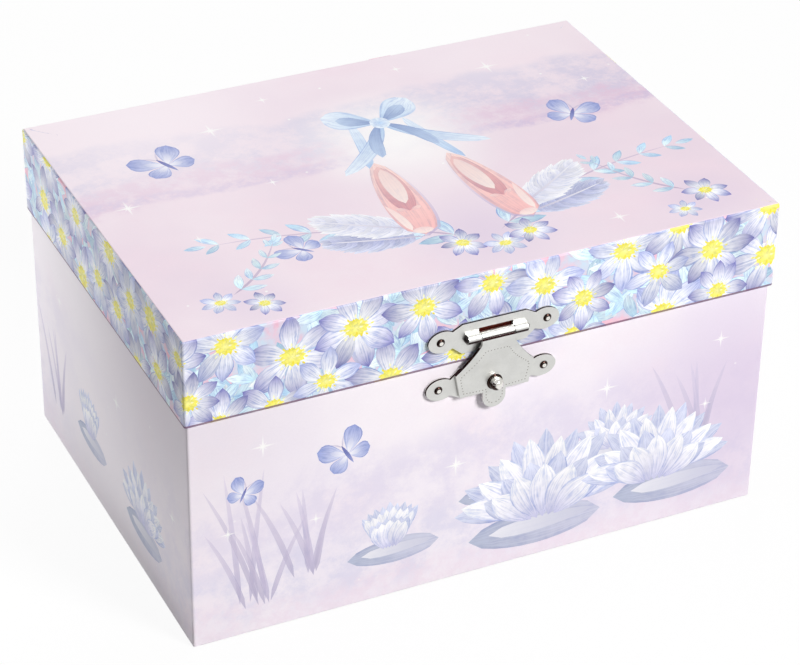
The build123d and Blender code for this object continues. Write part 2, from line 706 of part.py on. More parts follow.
def mainspring():
    """A flat spiral strip between the arbor and the drum's wall, in half turns."""
    inner = ARBOR + ARBOR_CLEARANCE + ROLL_CLEARANCE
    inside, outside = [], []
    for number in range(2 * SPRING_TURNS):
        centre = SPRING_PITCH / 4 * (-1) ** number
        radius = inner + SPRING_PITCH * number / 2 + SPRING_PITCH / 4
        way = (-1) ** number
        for edges, offset in ((inside, 0), (outside, SPRING_STRIP)):
            r = radius + offset
            edges.append(ThreePointArc((centre - way * r, 0), (centre, way * r), (centre + way * r, 0)))
    ends = [Line(inside[0] @ 0, outside[0] @ 0), Line(inside[-1] @ 1, outside[-1] @ 1)]
    print("mainspring: least gap", round(spiral_gap(inside, SPRING_STRIP), 3))
    strip = make_face(Wire([*inside, *outside, *ends]))
    depth = DRUM_DEPTH - DRUM_FLOOR - 2 * DRUM_CLEARANCE
    return facing_front(Pos(0, 0, -DRUM_CLEARANCE - depth) * extrude(strip, depth))


def bedplate(screws):
    """The cast plate that the movement is built on, with the block under the comb's heel."""
    plate = block(BEDPLATE_X, (BEDPLATE_FRONT, CASE_INNER_Y), BEDPLATE_Z)
    heel = (COMB_TOP_Z - COMB_HEEL, COMB_TOP_Z)
    plate += block(CYLINDER_X, (AXIS_Y + COMB / 2, BEDPLATE_FRONT), heel)
    plate -= rod_y(0, DRUM_Z, ARBOR + ARBOR_CLEARANCE, (BEDPLATE_FRONT, CASE_INNER_Y))
    return cut(plate, screws)


def bedplate_screws():
    """Three screws through the back wall into the bedplate."""
    inset = 2 * SCREW_HEAD
    spots = [
        (BEDPLATE_X[0] + inset, BEDPLATE_Z[1] - inset),
        (BEDPLATE_X[1] - inset, BEDPLATE_Z[1] - inset),
        (BEDPLATE_X[1] - inset, BEDPLATE_Z[0] + inset),
    ]
    length = CASE_DEPTH / 2 - BEDPLATE_FRONT - DRUM_CLEARANCE
    face = CASE_DEPTH / 2
    return [
        stud((x, face, z), (0, 1, 0), SCREW_HEAD, SCREW_DOME, SCREW_SHANK, length) for x, z in spots
    ]


def winding():
    """The arbor through the back wall, and the butterfly key on its end."""
    key_front = CASE_DEPTH / 2 + KEY_STAND_OFF
    key_back = key_front + KEY_BOSS_LENGTH
    front = DRUM_FRONT + DRUM_CLEARANCE
    arbor = rod_y(0, DRUM_Z, ARBOR, (front, key_back))
    boss = rod_y(0, DRUM_Z, KEY_BOSS, (key_front, key_back)) - arbor
    reach = KEY_LOBE - KEY_WING
    lobes = Rectangle(2 * KEY_LOBE_X, 2 * KEY_WAIST)
    lobes += Pos(0, -reach / 2) * Rectangle(2 * KEY_BOSS, reach + 2 * KEY_WING)
    for side in (-1, 1):
        lobes += Pos(side * KEY_LOBE_X, 0) * Circle(KEY_LOBE)
    for side in (-1, 1):
        lobes -= Pos(side * KEY_LOBE_X, 0) * Circle(KEY_LOBE_HOLE)
    wing = Pos(0, key_back + reach, DRUM_Z) * extrude(lobes, KEY_WING / 2, both=True)
    key = boss + wing - arbor
    return {"winding_arbor": arbor, "winding_key": key}


def music_cylinder():
    """The pinned cylinder, its arbor, its pinion on the crown and the wheel that drives the fly."""
    x0, x1 = CYLINDER_X
    drum = rod_x(AXIS_Y, DRUM_Z, CYLINDER, CYLINDER_X)
    drum -= rod_x(AXIS_Y, DRUM_Z, SHAFT, CYLINDER_X)
    track = (x1 - x0) / TRACKS
    pins = []
    for number in range(TRACKS * PINS_PER_TRACK):
        x = x0 + (number % TRACKS + 0.5) * track
        turn = math.radians(number * PIN_SPREAD_DEG)
        way = Vector(0, math.cos(turn), math.sin(turn))
        middle = Vector(x, AXIS_Y, DRUM_Z)
        foot = middle + way * (CYLINDER - CYLINDER_WALL)
        pins.append(rod(foot, middle + way * (CYLINDER + MUSIC_PIN_REACH), MUSIC_PIN))
    arbor_x = (CROWN_RADIUS - CROWN_FACE - BEARING / 4, WHEEL_X[1] + 2 * BEARING + ROLL_CLEARANCE)
    pinion_x = CROWN_RADIUS - PINION_FACE / 2
    along_x = Plane(origin=(pinion_x, AXIS_Y, DRUM_Z), x_dir=(0, 1, 0), z_dir=(1, 0, 0))
    wheel_plane = Plane(origin=(WHEEL_X[0], AXIS_Y, DRUM_Z), x_dir=(0, 1, 0), z_dir=(1, 0, 0))
    return {
        "music_cylinder": drum.fuse(*pins),
        "cylinder_arbor": rod_x(AXIS_Y, DRUM_Z, SHAFT, arbor_x),
        "cylinder_pinion": along_x * gear(PINION_TEETH, SHAFT, PINION_FACE, 0),
        "governor_wheel": wheel_plane * gear(WORM_WHEEL_TEETH, SHAFT, WHEEL_X[1] - WHEEL_X[0], 0),
    }


def bearing_post(x):
    """One upright bearing for the cylinder's arbor, on the bedplate."""
    post = block(x, (AXIS_Y, BEDPLATE_FRONT), spread(BEARING_HALF, DRUM_Z))
    post += rod_x(AXIS_Y, DRUM_Z, BEARING_HALF, x)
    return post - rod_x(AXIS_Y, DRUM_Z, SHAFT + SHAFT_CLEARANCE, x)


def cylinder_bearings():
    """The two bearings that the cylinder turns in."""
    left = DRUM_RADIUS + 2 * DRUM_CLEARANCE
    right = WHEEL_X[1] + BEARING
    return [bearing_post((left, left + BEARING)), bearing_post((right, right + BEARING))]


def music_comb(screws):
    """The steel comb: long thin teeth cut in a plate, on a block that stands on the bedplate."""
    comb_y = spread(COMB / 2, AXIS_Y)
    plate = block(CYLINDER_X, comb_y, (COMB_TIP_Z, COMB_TOP_Z))
    track = (CYLINDER_X[1] - CYLINDER_X[0]) / TRACKS
    for number in range(1, TRACKS):
        x = CYLINDER_X[0] + number * track
        plate -= block(spread(COMB_SLOT / 2, x), comb_y, (COMB_TIP_Z, COMB_TIP_Z + COMB_TOOTH))
    return cut(plate, screws)


def comb_screws():
    """Two screws through the comb's heel into its block."""
    quarter = (CYLINDER_X[1] - CYLINDER_X[0]) / 4
    height = COMB_TOP_Z - COMB_HEEL / 2
    face = AXIS_Y - COMB / 2
    spots = [(x, face, height) for x in (CYLINDER_X[0] + quarter, CYLINDER_X[1] - quarter)]
    size = (HEEL_SCREW_HEAD, HEEL_SCREW_DOME, SCREW_SHANK, HEEL_SCREW_LENGTH)
    return [stud(at, (0, -1, 0), *size) for at in spots]


def helix_tube(radius, pitch, turns, wire, start_deg):
    """A tube along a rising right-hand helix about Z, its path in quarter turns of two arcs each."""
    rise = pitch / (2 * math.pi)

    def point(turn):
        return Vector(radius * math.cos(turn), radius * math.sin(turn), rise * turn)

    def heading(turn):
        return Vector(-radius * math.sin(turn), radius * math.cos(turn), rise).normalized()

    arcs = []
    start = math.radians(start_deg)
    for number in range(4 * turns):
        low = start + number * math.pi / 2
        high = low + math.pi / 2
        join = biarc_joint(point(low), heading(low), point(high), heading(high))
        arcs.append(TangentArc(point(low), join, tangent=heading(low)))
        arcs.append(TangentArc(join, point(high), tangent=arcs[-1] % 1))
    path = Wire(arcs)
    section = Plane(origin=point(start), z_dir=heading(start)) * Circle(wire)
    return Pos(0, 0, -rise * start) * sweep(section, path=path)


def least_gap(points, turn, thick):
    """The least gap between a wound piece's turns, on points that lie a known number to a turn."""
    nearest = min((a - b).length for index, a in enumerate(points) for b in points[index + turn // 2 :])
    return nearest - thick


def helix_gap(radius, pitch, turns, wire):
    """The least gap between the turns of a helix tube."""
    points = []
    for number in range(turns * GAP_POINTS + 1):
        turn = 2 * math.pi * number / GAP_POINTS
        points.append(Vector(radius * math.cos(turn), radius * math.sin(turn), pitch * number / GAP_POINTS))
    return least_gap(points, GAP_POINTS, 2 * wire)


def spiral_gap(edges, thick):
    """The least gap between the turns of a spiral strip, from its inner edge in half turns."""
    half_turn = GAP_POINTS // 2
    points = [edge @ (number / half_turn) for edge in edges for number in range(half_turn)]
    return least_gap(points, GAP_POINTS, thick)


def biarc_joint(first, first_way, last, last_way):
    """The point where two arcs meet that leave one point and reach another with given headings."""
    gap = last - first
    both = first_way + last_way
    a = 2 * (1 - first_way.dot(last_way))
    b = 2 * gap.dot(both)
    reach = (math.sqrt(b * b + 4 * a * gap.dot(gap)) - b) / (2 * a)
    return (first + last + (first_way - last_way) * reach) * 0.5


def governor():
    """The fly: an upright worm on a shaft with two wings, driven by the cylinder's wheel."""
    length = WORM_PITCH * WORM_TURNS
    core_z = spread(length / 2 + WORM_THREAD, DRUM_Z)
    shaft_z = (GOVERNOR_FLOOR_Z + SHAFT_FOOT, GOVERNOR_TOP_Z + SHAFT_SEAT)
    start = -90 + 180 * (WORM_TURNS + 1)
    winding = WORM_CORE + WORM_THREAD - WORM_SINK
    worm_gap = helix_gap(winding, WORM_PITCH, WORM_TURNS, WORM_THREAD)
    print("governor_fly: least gap of the worm", round(worm_gap, 3))
    thread = helix_tube(winding, WORM_PITCH, WORM_TURNS, WORM_THREAD, start)
    fly = rod_z(WORM_X, WORM_Y, SHAFT, shaft_z)
    fly += rod_z(WORM_X, WORM_Y, WORM_CORE, core_z)
    fly += Pos(WORM_X, WORM_Y, DRUM_Z - length / 2) * thread
    fly += rod_z(WORM_X, WORM_Y, FLY_HUB, FLY_Z)
    return fly + block(spread(FLY_RADIUS, WORM_X), spread(FLY_WING / 2, WORM_Y), FLY_Z)


def governor_bracket():
    """A bracket on the bedplate with a bearing at each end of the fly's shaft."""
    back_x = (WORM_X + 3 * BRACKET, WORM_X + 7 * BRACKET)
    back = (BEDPLATE_FRONT - BRACKET_BACK, BEDPLATE_FRONT)
    bracket = block(back_x, back, (GOVERNOR_FLOOR_Z, GOVERNOR_TOP_Z + BRACKET))
    for low in (GOVERNOR_FLOOR_Z, GOVERNOR_TOP_Z):
        z = (low, low + BRACKET)
        bracket += block((WORM_X - BEARING_HALF, back_x[1]), (WORM_Y, BEDPLATE_FRONT), z)
        bracket += rod_z(WORM_X, WORM_Y, BEARING_HALF, z)
        bracket -= rod_z(WORM_X, WORM_Y, SHAFT + SHAFT_CLEARANCE, z)
    return bracket


def spindle_bracket():
    """A bracket on the bedplate with the two bearings of the dancer's spindle."""
    low, high = SPINDLE_BEARING_Z
    back = (BEDPLATE_FRONT - BRACKET, BEDPLATE_FRONT)
    bracket = block(spread(BEARING_HALF + BEARING), back, (low, high + BRACKET))
    for z0 in SPINDLE_BEARING_Z:
        z = (z0, z0 + BRACKET)
        bracket += block(spread(BEARING_HALF), (AXIS_Y, BEDPLATE_FRONT), z)
        bracket += rod_z(0, AXIS_Y, BEARING_HALF, z)
        bracket -= rod_z(0, AXIS_Y, SHAFT + SHAFT_CLEARANCE, z)
    return bracket


# ---- Dancer ---------------------------------------------------------------------------------------
def dancer_drive():
    """The upright spindle with its collar, its pinion on the crown, and the coil spring on top."""
    spindle = rod_z(0, AXIS_Y, SHAFT, (SPINDLE_PINION_Z - PINION_FACE, COLLAR_Z[1]))
    spindle += rod_z(0, AXIS_Y, COLLAR, COLLAR_Z)
    pinion = gear(PINION_TEETH, SHAFT, PINION_FACE, 90)
    pinion = Pos(0, AXIS_Y, SPINDLE_PINION_Z - PINION_FACE / 2) * pinion
    coil_gap = helix_gap(COIL_RADIUS, COIL_PITCH, COIL_TURNS, COIL_WIRE)
    print("dancer_spring: least gap", round(coil_gap, 3))
    coil = Pos(0, AXIS_Y, COIL_Z) * helix_tube(COIL_RADIUS, COIL_PITCH, COIL_TURNS, COIL_WIRE, 0)
    return {"dancer_spindle": spindle, "spindle_pinion": pinion, "dancer_spring": coil}


def limb(points, radii):
    """A round limb of straight tapers between balls."""
    shape = None
    for (start, end), (r0, r1) in zip(zip(points, points[1:]), zip(radii, radii[1:])):
        way = Vector(*end) - Vector(*start)
        taper = Plane(origin=start, z_dir=way) * loft(
            [Circle(r0), Pos(0, 0, way.length) * Circle(r1)]
        )
        ball = Pos(*end) * Sphere(r1)
        shape = taper + ball if shape is None else shape + taper + ball
    return shape + Pos(*points[0]) * Sphere(radii[0])


def dancer_figure():
    """A plain dancer on one pointed foot, the other leg bent, both arms curved overhead."""

    def sized(points, side=1):
        return [tuple(FIGURE_HEIGHT * way for way in (side * x, y, z)) for x, y, z in points]

    body = limb(sized(LEG), [FIGURE_HEIGHT * share for share in LEG_RADII])
    body += limb(sized(BENT_LEG), [FIGURE_HEIGHT * share for share in BENT_LEG_RADII])
    body += rod_z(0, 0, WAIST_RADIUS, spread(TUTU_THICK / 2, WAIST_Z - FOOT_Z))
    sections = [
        Pos(0, 0, z * FIGURE_HEIGHT) * Ellipse(x * FIGURE_HEIGHT, y * FIGURE_HEIGHT) for x, y, z in BODICE
    ]
    body += loft(sections)
    neck_low = FIGURE_HEIGHT * BODICE[-1][2]
    neck = FIGURE_HEIGHT * NECK_SHARE
    collar = Pos(0, 0, neck_low + neck) * Circle(neck)
    body += loft([sections[-1], collar])
    head_z = FIGURE_HEIGHT * HEAD_Z
    body += rod_z(0, 0, neck, (neck_low, head_z))
    head = Sphere(FIGURE_HEIGHT * HEAD_SHARE)
    body += Pos(0, 0, head_z) * scale(head, HEAD_SCALE)
    body += Pos(*sized([HAIR_BUN])[0]) * Sphere(FIGURE_HEIGHT * BUN_SHARE)
    for side in (-1, 1):
        body += limb(sized(ARM, side), [FIGURE_HEIGHT * share for share in ARM_RADII])
    foot_top = FIGURE_HEIGHT * LEG[0][2]
    base = rod_z(0, 0, COLLAR, (0, foot_top))
    return Pos(0, AXIS_Y, FOOT_Z) * (body + base)


def dancer_tutu():
    """The stiff net skirt: a thin disc, thicker at the waist."""
    half = TUTU_THICK / 2
    edge = TUTU_EDGE / 2
    profile = Polyline(
        (WAIST_RADIUS, -half), (TUTU_RADIUS, -edge), (TUTU_RADIUS, edge), (WAIST_RADIUS, half), close=True
    )
    return Pos(0, AXIS_Y, WAIST_Z) * revolve(Plane.XZ * make_face(profile), Axis.Z)


# ---- Stop rod and ribbon --------------------------------------------------------------------------
def stop_rod():
    """The wire that the shut lid presses down, with a brake pad just over the fly."""
    pad_z = FLY_Z[1] + BRAKE_GAP
    reach_z = pad_z + BRAKE_RADIUS / 2
    top = LID_BOTTOM + BLOCK_GAP - SHAFT_CLEARANCE
    path = FilletPolyline(
        (ROD_X, ROD_Y, top),
        (ROD_X, ROD_Y, reach_z),
        (WORM_X + FLY_HUB + BRAKE_RADIUS, WORM_Y, reach_z),
        radius=2 * ROD,
    )
    wire = sweep(Plane(origin=path @ 0, z_dir=path % 0) * Circle(ROD), path=path)
    wire += rod_z(WORM_X + FLY_HUB + BRAKE_RADIUS, WORM_Y, BRAKE_RADIUS, (pad_z, pad_z + 2 * ROD))
    return wire


def lid_ribbon():
    """The satin stay, folded behind the shut lid between the case's and the lid's side linings."""
    half = (RIBBON_RISE + RIBBON_DROP) / 2
    radius = (half**2 + RIBBON_BOW**2) / (2 * RIBBON_BOW)
    centre = (RIBBON_Y + RIBBON_BOW - radius, LID_BOTTOM + RIBBON_RISE - half)
    turn = math.degrees(math.asin(half / radius))
    near = CenterArc(centre, radius - RIBBON_HALF, -turn, 2 * turn)
    far = CenterArc(centre, radius + RIBBON_HALF, -turn, 2 * turn)
    ends = [Line(near @ 0, far @ 0), Line(near @ 1, far @ 1)]
    outer = CASE_INNER_X - LINING
    plane = Plane(origin=(outer - RIBBON, 0, 0), x_dir=(0, 1, 0), z_dir=(1, 0, 0))
    return extrude(plane * make_face(Wire([near, far, *ends])), RIBBON)


# ---- Assembly -------------------------------------------------------------------------------------
def build():
    """Every node of the box, by name."""
    case_back = CASE_DEPTH / 2
    case_hinge_nails = hinge_nails(CASE_TOP - LEAF_NAIL_Z, case_back)
    lid_hinge_nails = hinge_nails(LID_BOTTOM + LEAF_NAIL_Z, LID_DEPTH / 2)
    upper_nails = latch_nails(UPPER_EAR_Z, -LID_DEPTH / 2)
    lower_nails = latch_nails(LOWER_EAR_Z, -CASE_DEPTH / 2)
    plate_screws = bedplate_screws()
    heel_screws = comb_screws()
    key_way = rod_y(0, DRUM_Z, KEY_HOLE, (CASE_INNER_Y, case_back))

    parts = {}
    parts.update(case_shell([*case_hinge_nails, *plate_screws, key_way], lower_nails))
    parts.update(lid_shell(lid_hinge_nails, upper_nails))
    parts.update(lid_inside())
    parts.update(compartments())
    parts.update(hinges(case_hinge_nails, lid_hinge_nails))
    parts.update(latch(upper_nails, lower_nails))
    parts.update(winding())
    parts.update(music_cylinder())
    parts.update(dancer_drive())
    parts.update(
        {
            "case_nails": Compound([*case_hinge_nails, *lower_nails]),
            "lid_nails": Compound([*lid_hinge_nails, *upper_nails]),
            "movement_bedplate": bedplate([*plate_screws, *heel_screws]),
            "bedplate_screws": Compound(plate_screws),
            "spring_barrel": spring_barrel(),
            "mainspring": mainspring(),
            "cylinder_bearings": Compound(cylinder_bearings()),
            "music_comb": music_comb(heel_screws),
            "comb_screws": Compound(heel_screws),
            "governor_fly": governor(),
            "governor_bracket": governor_bracket(),
            "spindle_bracket": spindle_bracket(),
            "dancer_figure": dancer_figure(),
            "dancer_tutu": dancer_tutu(),
            "stop_rod": stop_rod(),
            "lid_ribbon": lid_ribbon(),
        }
    )
    return parts


os.makedirs("parts", exist_ok=True)
PARTS = build()
for part_name, part_shape in PARTS.items():
    export_step(part_shape, f"parts/{part_name}.step")
print(len(PARTS), "nodes")
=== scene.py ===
"""The look of a musical jewellery box with a turning dancer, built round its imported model.

Every length in the classes is in millimetres, and MM turns it into Blender's metres. The frame is the
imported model's: +Z up, the latch towards -Y, and the origin under the middle of the base.
"""

import json
import logging
import math
import random
from collections.abc import Callable, Iterable, Sequence
from dataclasses import dataclass, field, replace
from enum import Enum

import bmesh
import bpy
import numpy as np
from mathutils import Matrix, Vector
from mathutils.geometry import delaunay_2d_cdt

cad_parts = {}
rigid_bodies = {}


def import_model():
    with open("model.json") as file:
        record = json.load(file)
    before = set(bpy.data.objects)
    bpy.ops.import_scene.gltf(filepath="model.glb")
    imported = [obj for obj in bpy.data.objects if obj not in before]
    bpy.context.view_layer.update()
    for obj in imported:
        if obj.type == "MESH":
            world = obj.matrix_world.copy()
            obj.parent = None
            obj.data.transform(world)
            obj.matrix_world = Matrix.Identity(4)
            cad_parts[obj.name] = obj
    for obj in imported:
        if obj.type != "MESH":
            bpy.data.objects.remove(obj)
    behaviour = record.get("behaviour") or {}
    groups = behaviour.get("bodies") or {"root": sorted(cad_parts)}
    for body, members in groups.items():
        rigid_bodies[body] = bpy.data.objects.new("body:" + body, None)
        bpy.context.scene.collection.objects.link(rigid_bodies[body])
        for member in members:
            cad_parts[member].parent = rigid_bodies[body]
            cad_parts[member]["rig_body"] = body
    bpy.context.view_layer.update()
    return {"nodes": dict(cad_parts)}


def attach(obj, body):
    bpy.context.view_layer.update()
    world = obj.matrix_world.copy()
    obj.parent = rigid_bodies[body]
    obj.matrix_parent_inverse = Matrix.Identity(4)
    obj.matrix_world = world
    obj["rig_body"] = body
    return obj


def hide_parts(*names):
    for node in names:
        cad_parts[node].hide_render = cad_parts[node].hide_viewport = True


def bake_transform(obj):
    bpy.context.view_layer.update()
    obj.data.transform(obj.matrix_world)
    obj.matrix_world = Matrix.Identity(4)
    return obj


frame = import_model()

LOG = logging.getLogger("box")
MM = 0.001
SHARP_DEG = 35.0
WHITE = (1.0, 1.0, 1.0)
UP = math.pi / 2
Point = tuple[float, float]
Point3 = tuple[float, float, float]
Colour = tuple[float, float, float]
Object = bpy.types.Object
Mesh = bpy.types.Mesh
Node = bpy.types.Node
Socket = bpy.types.NodeSocket
Work = bmesh.types.BMesh


def linear(red: float, green: float, blue: float) -> Colour:
    """Turns a display colour of 0 to 255 into the linear light that Blender mixes.

    Args:
        red: Its red.
        green: Its green.
        blue: Its blue.

    Returns:
        The colour in linear light.
    """
    return tuple(
        c / 12.92 if c <= 0.04045 else ((c + 0.055) / 1.055) ** 2.4
        for c in (red / 255, green / 255, blue / 255)
    )


def blend_colour(first: Sequence[float], second: Sequence[float], share: float) -> tuple[float, ...]:
    """Mixes two colours; share 1 is all the second."""
    return tuple(a + (b - a) * share for a, b in zip(first, second))


def smooth(value: float) -> float:
    """Eases a value between 0 and 1."""
    value = min(max(value, 0.0), 1.0)
    return value * value * (3 - 2 * value)


# ---- Shader graphs --------------------------------------------------------------------------------
class Graph:
    """A node tree with one short call for each kind of node that the finishes and the studio use."""

    def __init__(self, owner: bpy.types.Material | bpy.types.World, shader: str, output: str) -> None:
        """Starts from a new owner's own two nodes.

        Args:
            owner: The new material or world.
            shader: The name of its shader node.
            output: The name of its output node.
        """
        owner.use_nodes = True
        self.owner = owner
        self.tree = owner.node_tree
        self.surface, self.output = self.tree.nodes[shader], self.tree.nodes[output]
        self._place: Socket | None = None

    @classmethod
    def of_material(cls, name: str) -> "Graph":
        """Starts a material that has only its Principled shader."""
        return cls(bpy.data.materials.new(name), "Principled BSDF", "Material Output")

    def set(self, socket: Socket, value: object) -> None:
        """Links a socket to another, or gives it a plain value.

        Args:
            socket: The input.
            value: A socket, or a number, vector or colour.
        """
        if isinstance(value, Socket):
            self.tree.links.new(value, socket)
        elif socket.type == "RGBA" and len(value) == 3:
            socket.default_value = (*value, 1)
        else:
            socket.default_value = value

    def shade(self, **values: object) -> None:
        """Sets the shader's inputs by name, with _ for a space."""
        for name, value in values.items():
            self.set(self.surface.inputs[name.replace("_", " ")], value)

    def add(self, kind: str, inputs: dict[object, object] | None = None, **settings: object) -> Node:
        """Adds a node.

        Args:
            kind: The node's type.
            inputs: Values or sockets by input name or index.
            settings: The node's own properties.

        Returns:
            The new node.
        """
        node = self.tree.nodes.new(kind)
        for name, value in settings.items():
            setattr(node, name, value)
        for name, value in (inputs or {}).items():
            self.set(node.inputs[name], value)
        return node

    def place(self) -> Socket:
        """The point of the piece at rest, in millimetres.

        Returns:
            Its socket.
        """
        if self._place is None:
            here = self.add("ShaderNodeTexCoord").outputs["Object"]
            self._place = self.vector("SCALE", here, scale=1000.0)
        return self._place

    def vector(self, operation: str, *values: object, scale: float | None = None) -> Socket:
        """One step of vector arithmetic.

        Args:
            operation: Blender's name of the step.
            scale: The factor, where the step has one.
            values: The vectors or sockets that go in.

        Returns:
            The result's socket.
        """
        node = self.add("ShaderNodeVectorMath", dict(enumerate(values)), operation=operation)
        if scale is not None:
            node.inputs["Scale"].default_value = scale
        return node.outputs["Value" if operation in ("LENGTH", "DISTANCE", "DOT_PRODUCT") else "Vector"]

    def maths(self, operation: str, *values: object) -> Socket:
        """One step of arithmetic on numbers."""
        return self.add("ShaderNodeMath", dict(enumerate(values)), operation=operation).outputs[0]

    def times(self, first: object, *others: object) -> Socket:
        """The product of numbers.

        Args:
            first: The first factor.
            others: The other factors.

        Returns:
            The product's socket.
        """
        for other in others:
            first = self.maths("MULTIPLY", first, other)
        return first

    def parts(self, vector: object) -> tuple[Socket, ...]:
        """The three numbers of a vector."""
        return tuple(self.add("ShaderNodeSeparateXYZ", {0: vector}).outputs)

    def join(self, *values: object) -> Socket:
        """A vector from three numbers."""
        return self.add("ShaderNodeCombineXYZ", dict(enumerate(values))).outputs[0]

    def fade(self, value: object, low: float, high: float, start: float = 0.0, end: float = 1.0) -> Socket:
        """Eases a number from start to end while it goes from low to high."""
        inputs = {"Value": value, "From Min": low, "From Max": high, "To Min": start, "To Max": end}
        return self.add("ShaderNodeMapRange", inputs, interpolation_type="SMOOTHSTEP").outputs[0]

    def noise(self, scale: float, detail: float = 3.0, where: object = None, rough: float = 0.5) -> Socket:
        """Soft noise of about 0 to 1; scale is in waves to a millimetre.

        Args:
            scale: How fine it is.
            detail: How many finer layers it has.
            where: Where it is read, which is the place at rest if left out.
            rough: How strong the finer layers are.

        Returns:
            The noise's socket.
        """
        where = self.place() if where is None else where
        inputs = {"Vector": where, "Scale": scale, "Detail": detail, "Roughness": rough}
        return self.add("ShaderNodeTexNoise", inputs).outputs[0]

    def cells(self, scale: float, feature: str = "F1", jitter: float = 1.0) -> Node:
        """A cell pattern; scale is in cells to a millimetre."""
        inputs = {"Vector": self.place(), "Scale": scale, "Randomness": jitter}
        return self.add("ShaderNodeTexVoronoi", inputs, feature=feature)

    def mix(self, share: object, first: object, second: object) -> Socket:
        """Mixes two colours.

        Args:
            share: The second colour's share.
            first: The first colour.
            second: The second colour.

        Returns:
            The mixed colour's socket.
        """
        node = self.add("ShaderNodeMix", data_type="RGBA")
        for name, value in (("Factor_Float", share), ("A_Color", first), ("B_Color", second)):
            socket = next(s for s in node.inputs if s.identifier == name)
            self.set(socket, value)
        return next(s for s in node.outputs if s.identifier == "Result_Color")

    def mix_shader(self, share: object, second: object) -> None:
        """Lets a second shader take its share of the surface."""
        mix = self.add("ShaderNodeMixShader", {0: share, 1: self.surface.outputs[0], 2: second})
        self.set(self.output.inputs["Surface"], mix.outputs[0])

    def read(self, name: str) -> Node:
        """The node that reads one of the mesh's own values."""
        return self.add("ShaderNodeAttribute", attribute_name=name)

    def uneven(self, field: object, low: float, high: float, colour: Colour, dark: float) -> Socket:
        """A colour that is darker, by a factor, where a field is low."""
        return self.mix(self.fade(field, low, high), tuple(dark * c for c in colour), colour)

    def bump(self, height: object, depth: float, strength: float = 1.0) -> None:
        """Raises the surface by a height of 0 to 1 times a depth in millimetres."""
        inputs = {"Height": height, "Distance": depth * MM, "Strength": strength}
        self.set(self.surface.inputs["Normal"], self.add("ShaderNodeBump", inputs).outputs[0])

    def shown(self) -> Socket:
        """Whether a ray comes from the camera, straight or by a mirror or a clear piece.

        Returns:
            A socket that is 1 for such a ray and 0 for any other.
        """
        seen = self.add("ShaderNodeLightPath").outputs
        bent = self.maths("MAXIMUM", seen["Is Glossy Ray"], seen["Is Transmission Ray"])
        return self.maths("MAXIMUM", seen["Is Camera Ray"], bent)


# ---- Finishes -------------------------------------------------------------------------------------
@dataclass(frozen=True)
class Finish:
    """What every finish has: the name of its material and the record's slot that it belongs to."""

    name: str
    slot: str

    def draw(self, g: Graph) -> None:
        """Builds the finish's nodes."""
        raise NotImplementedError

    def material(self) -> bpy.types.Material:
        """The finish's material, made once.

        Returns:
            The material.
        """
        if self.name not in bpy.data.materials:
            self.draw(Graph.of_material(self.name))
        return bpy.data.materials[self.name]


@dataclass(frozen=True)
class Metal(Finish):
    """Plated, cast or brushed metal, with fine marks in its gloss, and painted shade on the faces that its mesh
    marks.
    """

    colour: Colour
    rough: float = 0.25
    marks: float = 0.08
    grain: float = 0.0
    grain_scale: float = 1.2
    stretch: Point3 = (1.0, 1.0, 1.0)
    # The colour of the painted shade and dark reflection on the faces that the mesh marks.
    cut: Colour | None = None
    specks: float = 0.22

    def draw(self, g: Graph) -> None:
        """Builds the finish's nodes.

        Args:
            g: The new material's graph.
        """
        where = g.vector("MULTIPLY", g.place(), self.stretch)
        marks = g.noise(1.7, 4.0, where)
        shade = g.uneven(g.noise(0.35), 0.35, 0.7, self.colour, 0.94)
        specks = g.fade(g.noise(3.4, 2.0, None, 0.8), 0.58, 0.7, 0.0, self.specks)
        shade = g.mix(specks, shade, tuple(0.55 * c for c in self.colour))
        rough = g.fade(marks, 0.3, 0.75, self.rough, self.rough + self.marks)
        # Marked faces take the cut colour: painted shade and dark reflection.
        if self.cut:
            shade = g.mix(g.read("painted_shade").outputs["Fac"], shade, self.cut)
        g.shade(Metallic=1.0, Base_Color=shade, Roughness=rough)
        if self.grain:
            g.bump(g.noise(self.grain_scale, 5.0, where, 0.6), self.grain, 0.6)


@dataclass(frozen=True)
class Board(Finish):
    """Grey-brown fibreboard with pressed fibres."""

    colour: Colour

    def draw(self, g: Graph) -> None:
        """Builds the finish's nodes.

        Args:
            g: The new material's graph.
        """
        fibres = g.noise(0.9, 6.0, g.vector("MULTIPLY", g.place(), (1.0, 1.0, 0.25)), 0.7)
        g.shade(Base_Color=g.uneven(fibres, 0.3, 0.7, self.colour, 0.7), Roughness=0.85)
        g.bump(fibres, 0.05)


@dataclass(frozen=True)
class PlainPaper(Finish):
    """Uncoated paper with a faint fibre."""

    colour: Colour

    def draw(self, g: Graph) -> None:
        """Builds the finish's nodes.

        Args:
            g: The new material's graph.
        """
        fibres = g.noise(1.1, 6.0, None, 0.7)
        g.shade(Base_Color=g.uneven(fibres, 0.35, 0.65, self.colour, 0.93), Roughness=0.75)
        g.bump(fibres, 0.02)


@dataclass(frozen=True)
class Velvet(Finish):
    """Short pile with a soft sheen and brushed patches."""

    colour: Colour
    sheen: float = 0.6

    def draw(self, g: Graph) -> None:
        """Builds the finish's nodes.

        Args:
            g: The new material's graph.
        """
        brushed = g.fade(g.noise(0.09, 3.0), 0.35, 0.65)
        pile = g.noise(6.0, 2.0, None, 0.8)
        dark = tuple(0.62 * c for c in self.colour)
        shade = g.mix(brushed, g.mix(pile, dark, self.colour), self.colour)
        g.shade(Base_Color=shade, Roughness=0.9, Sheen_Weight=self.sheen, Sheen_Roughness=0.45)
        g.shade(Sheen_Tint=(1.0, 0.86, 0.92, 1.0))
        g.bump(pile, 0.08, 0.7)


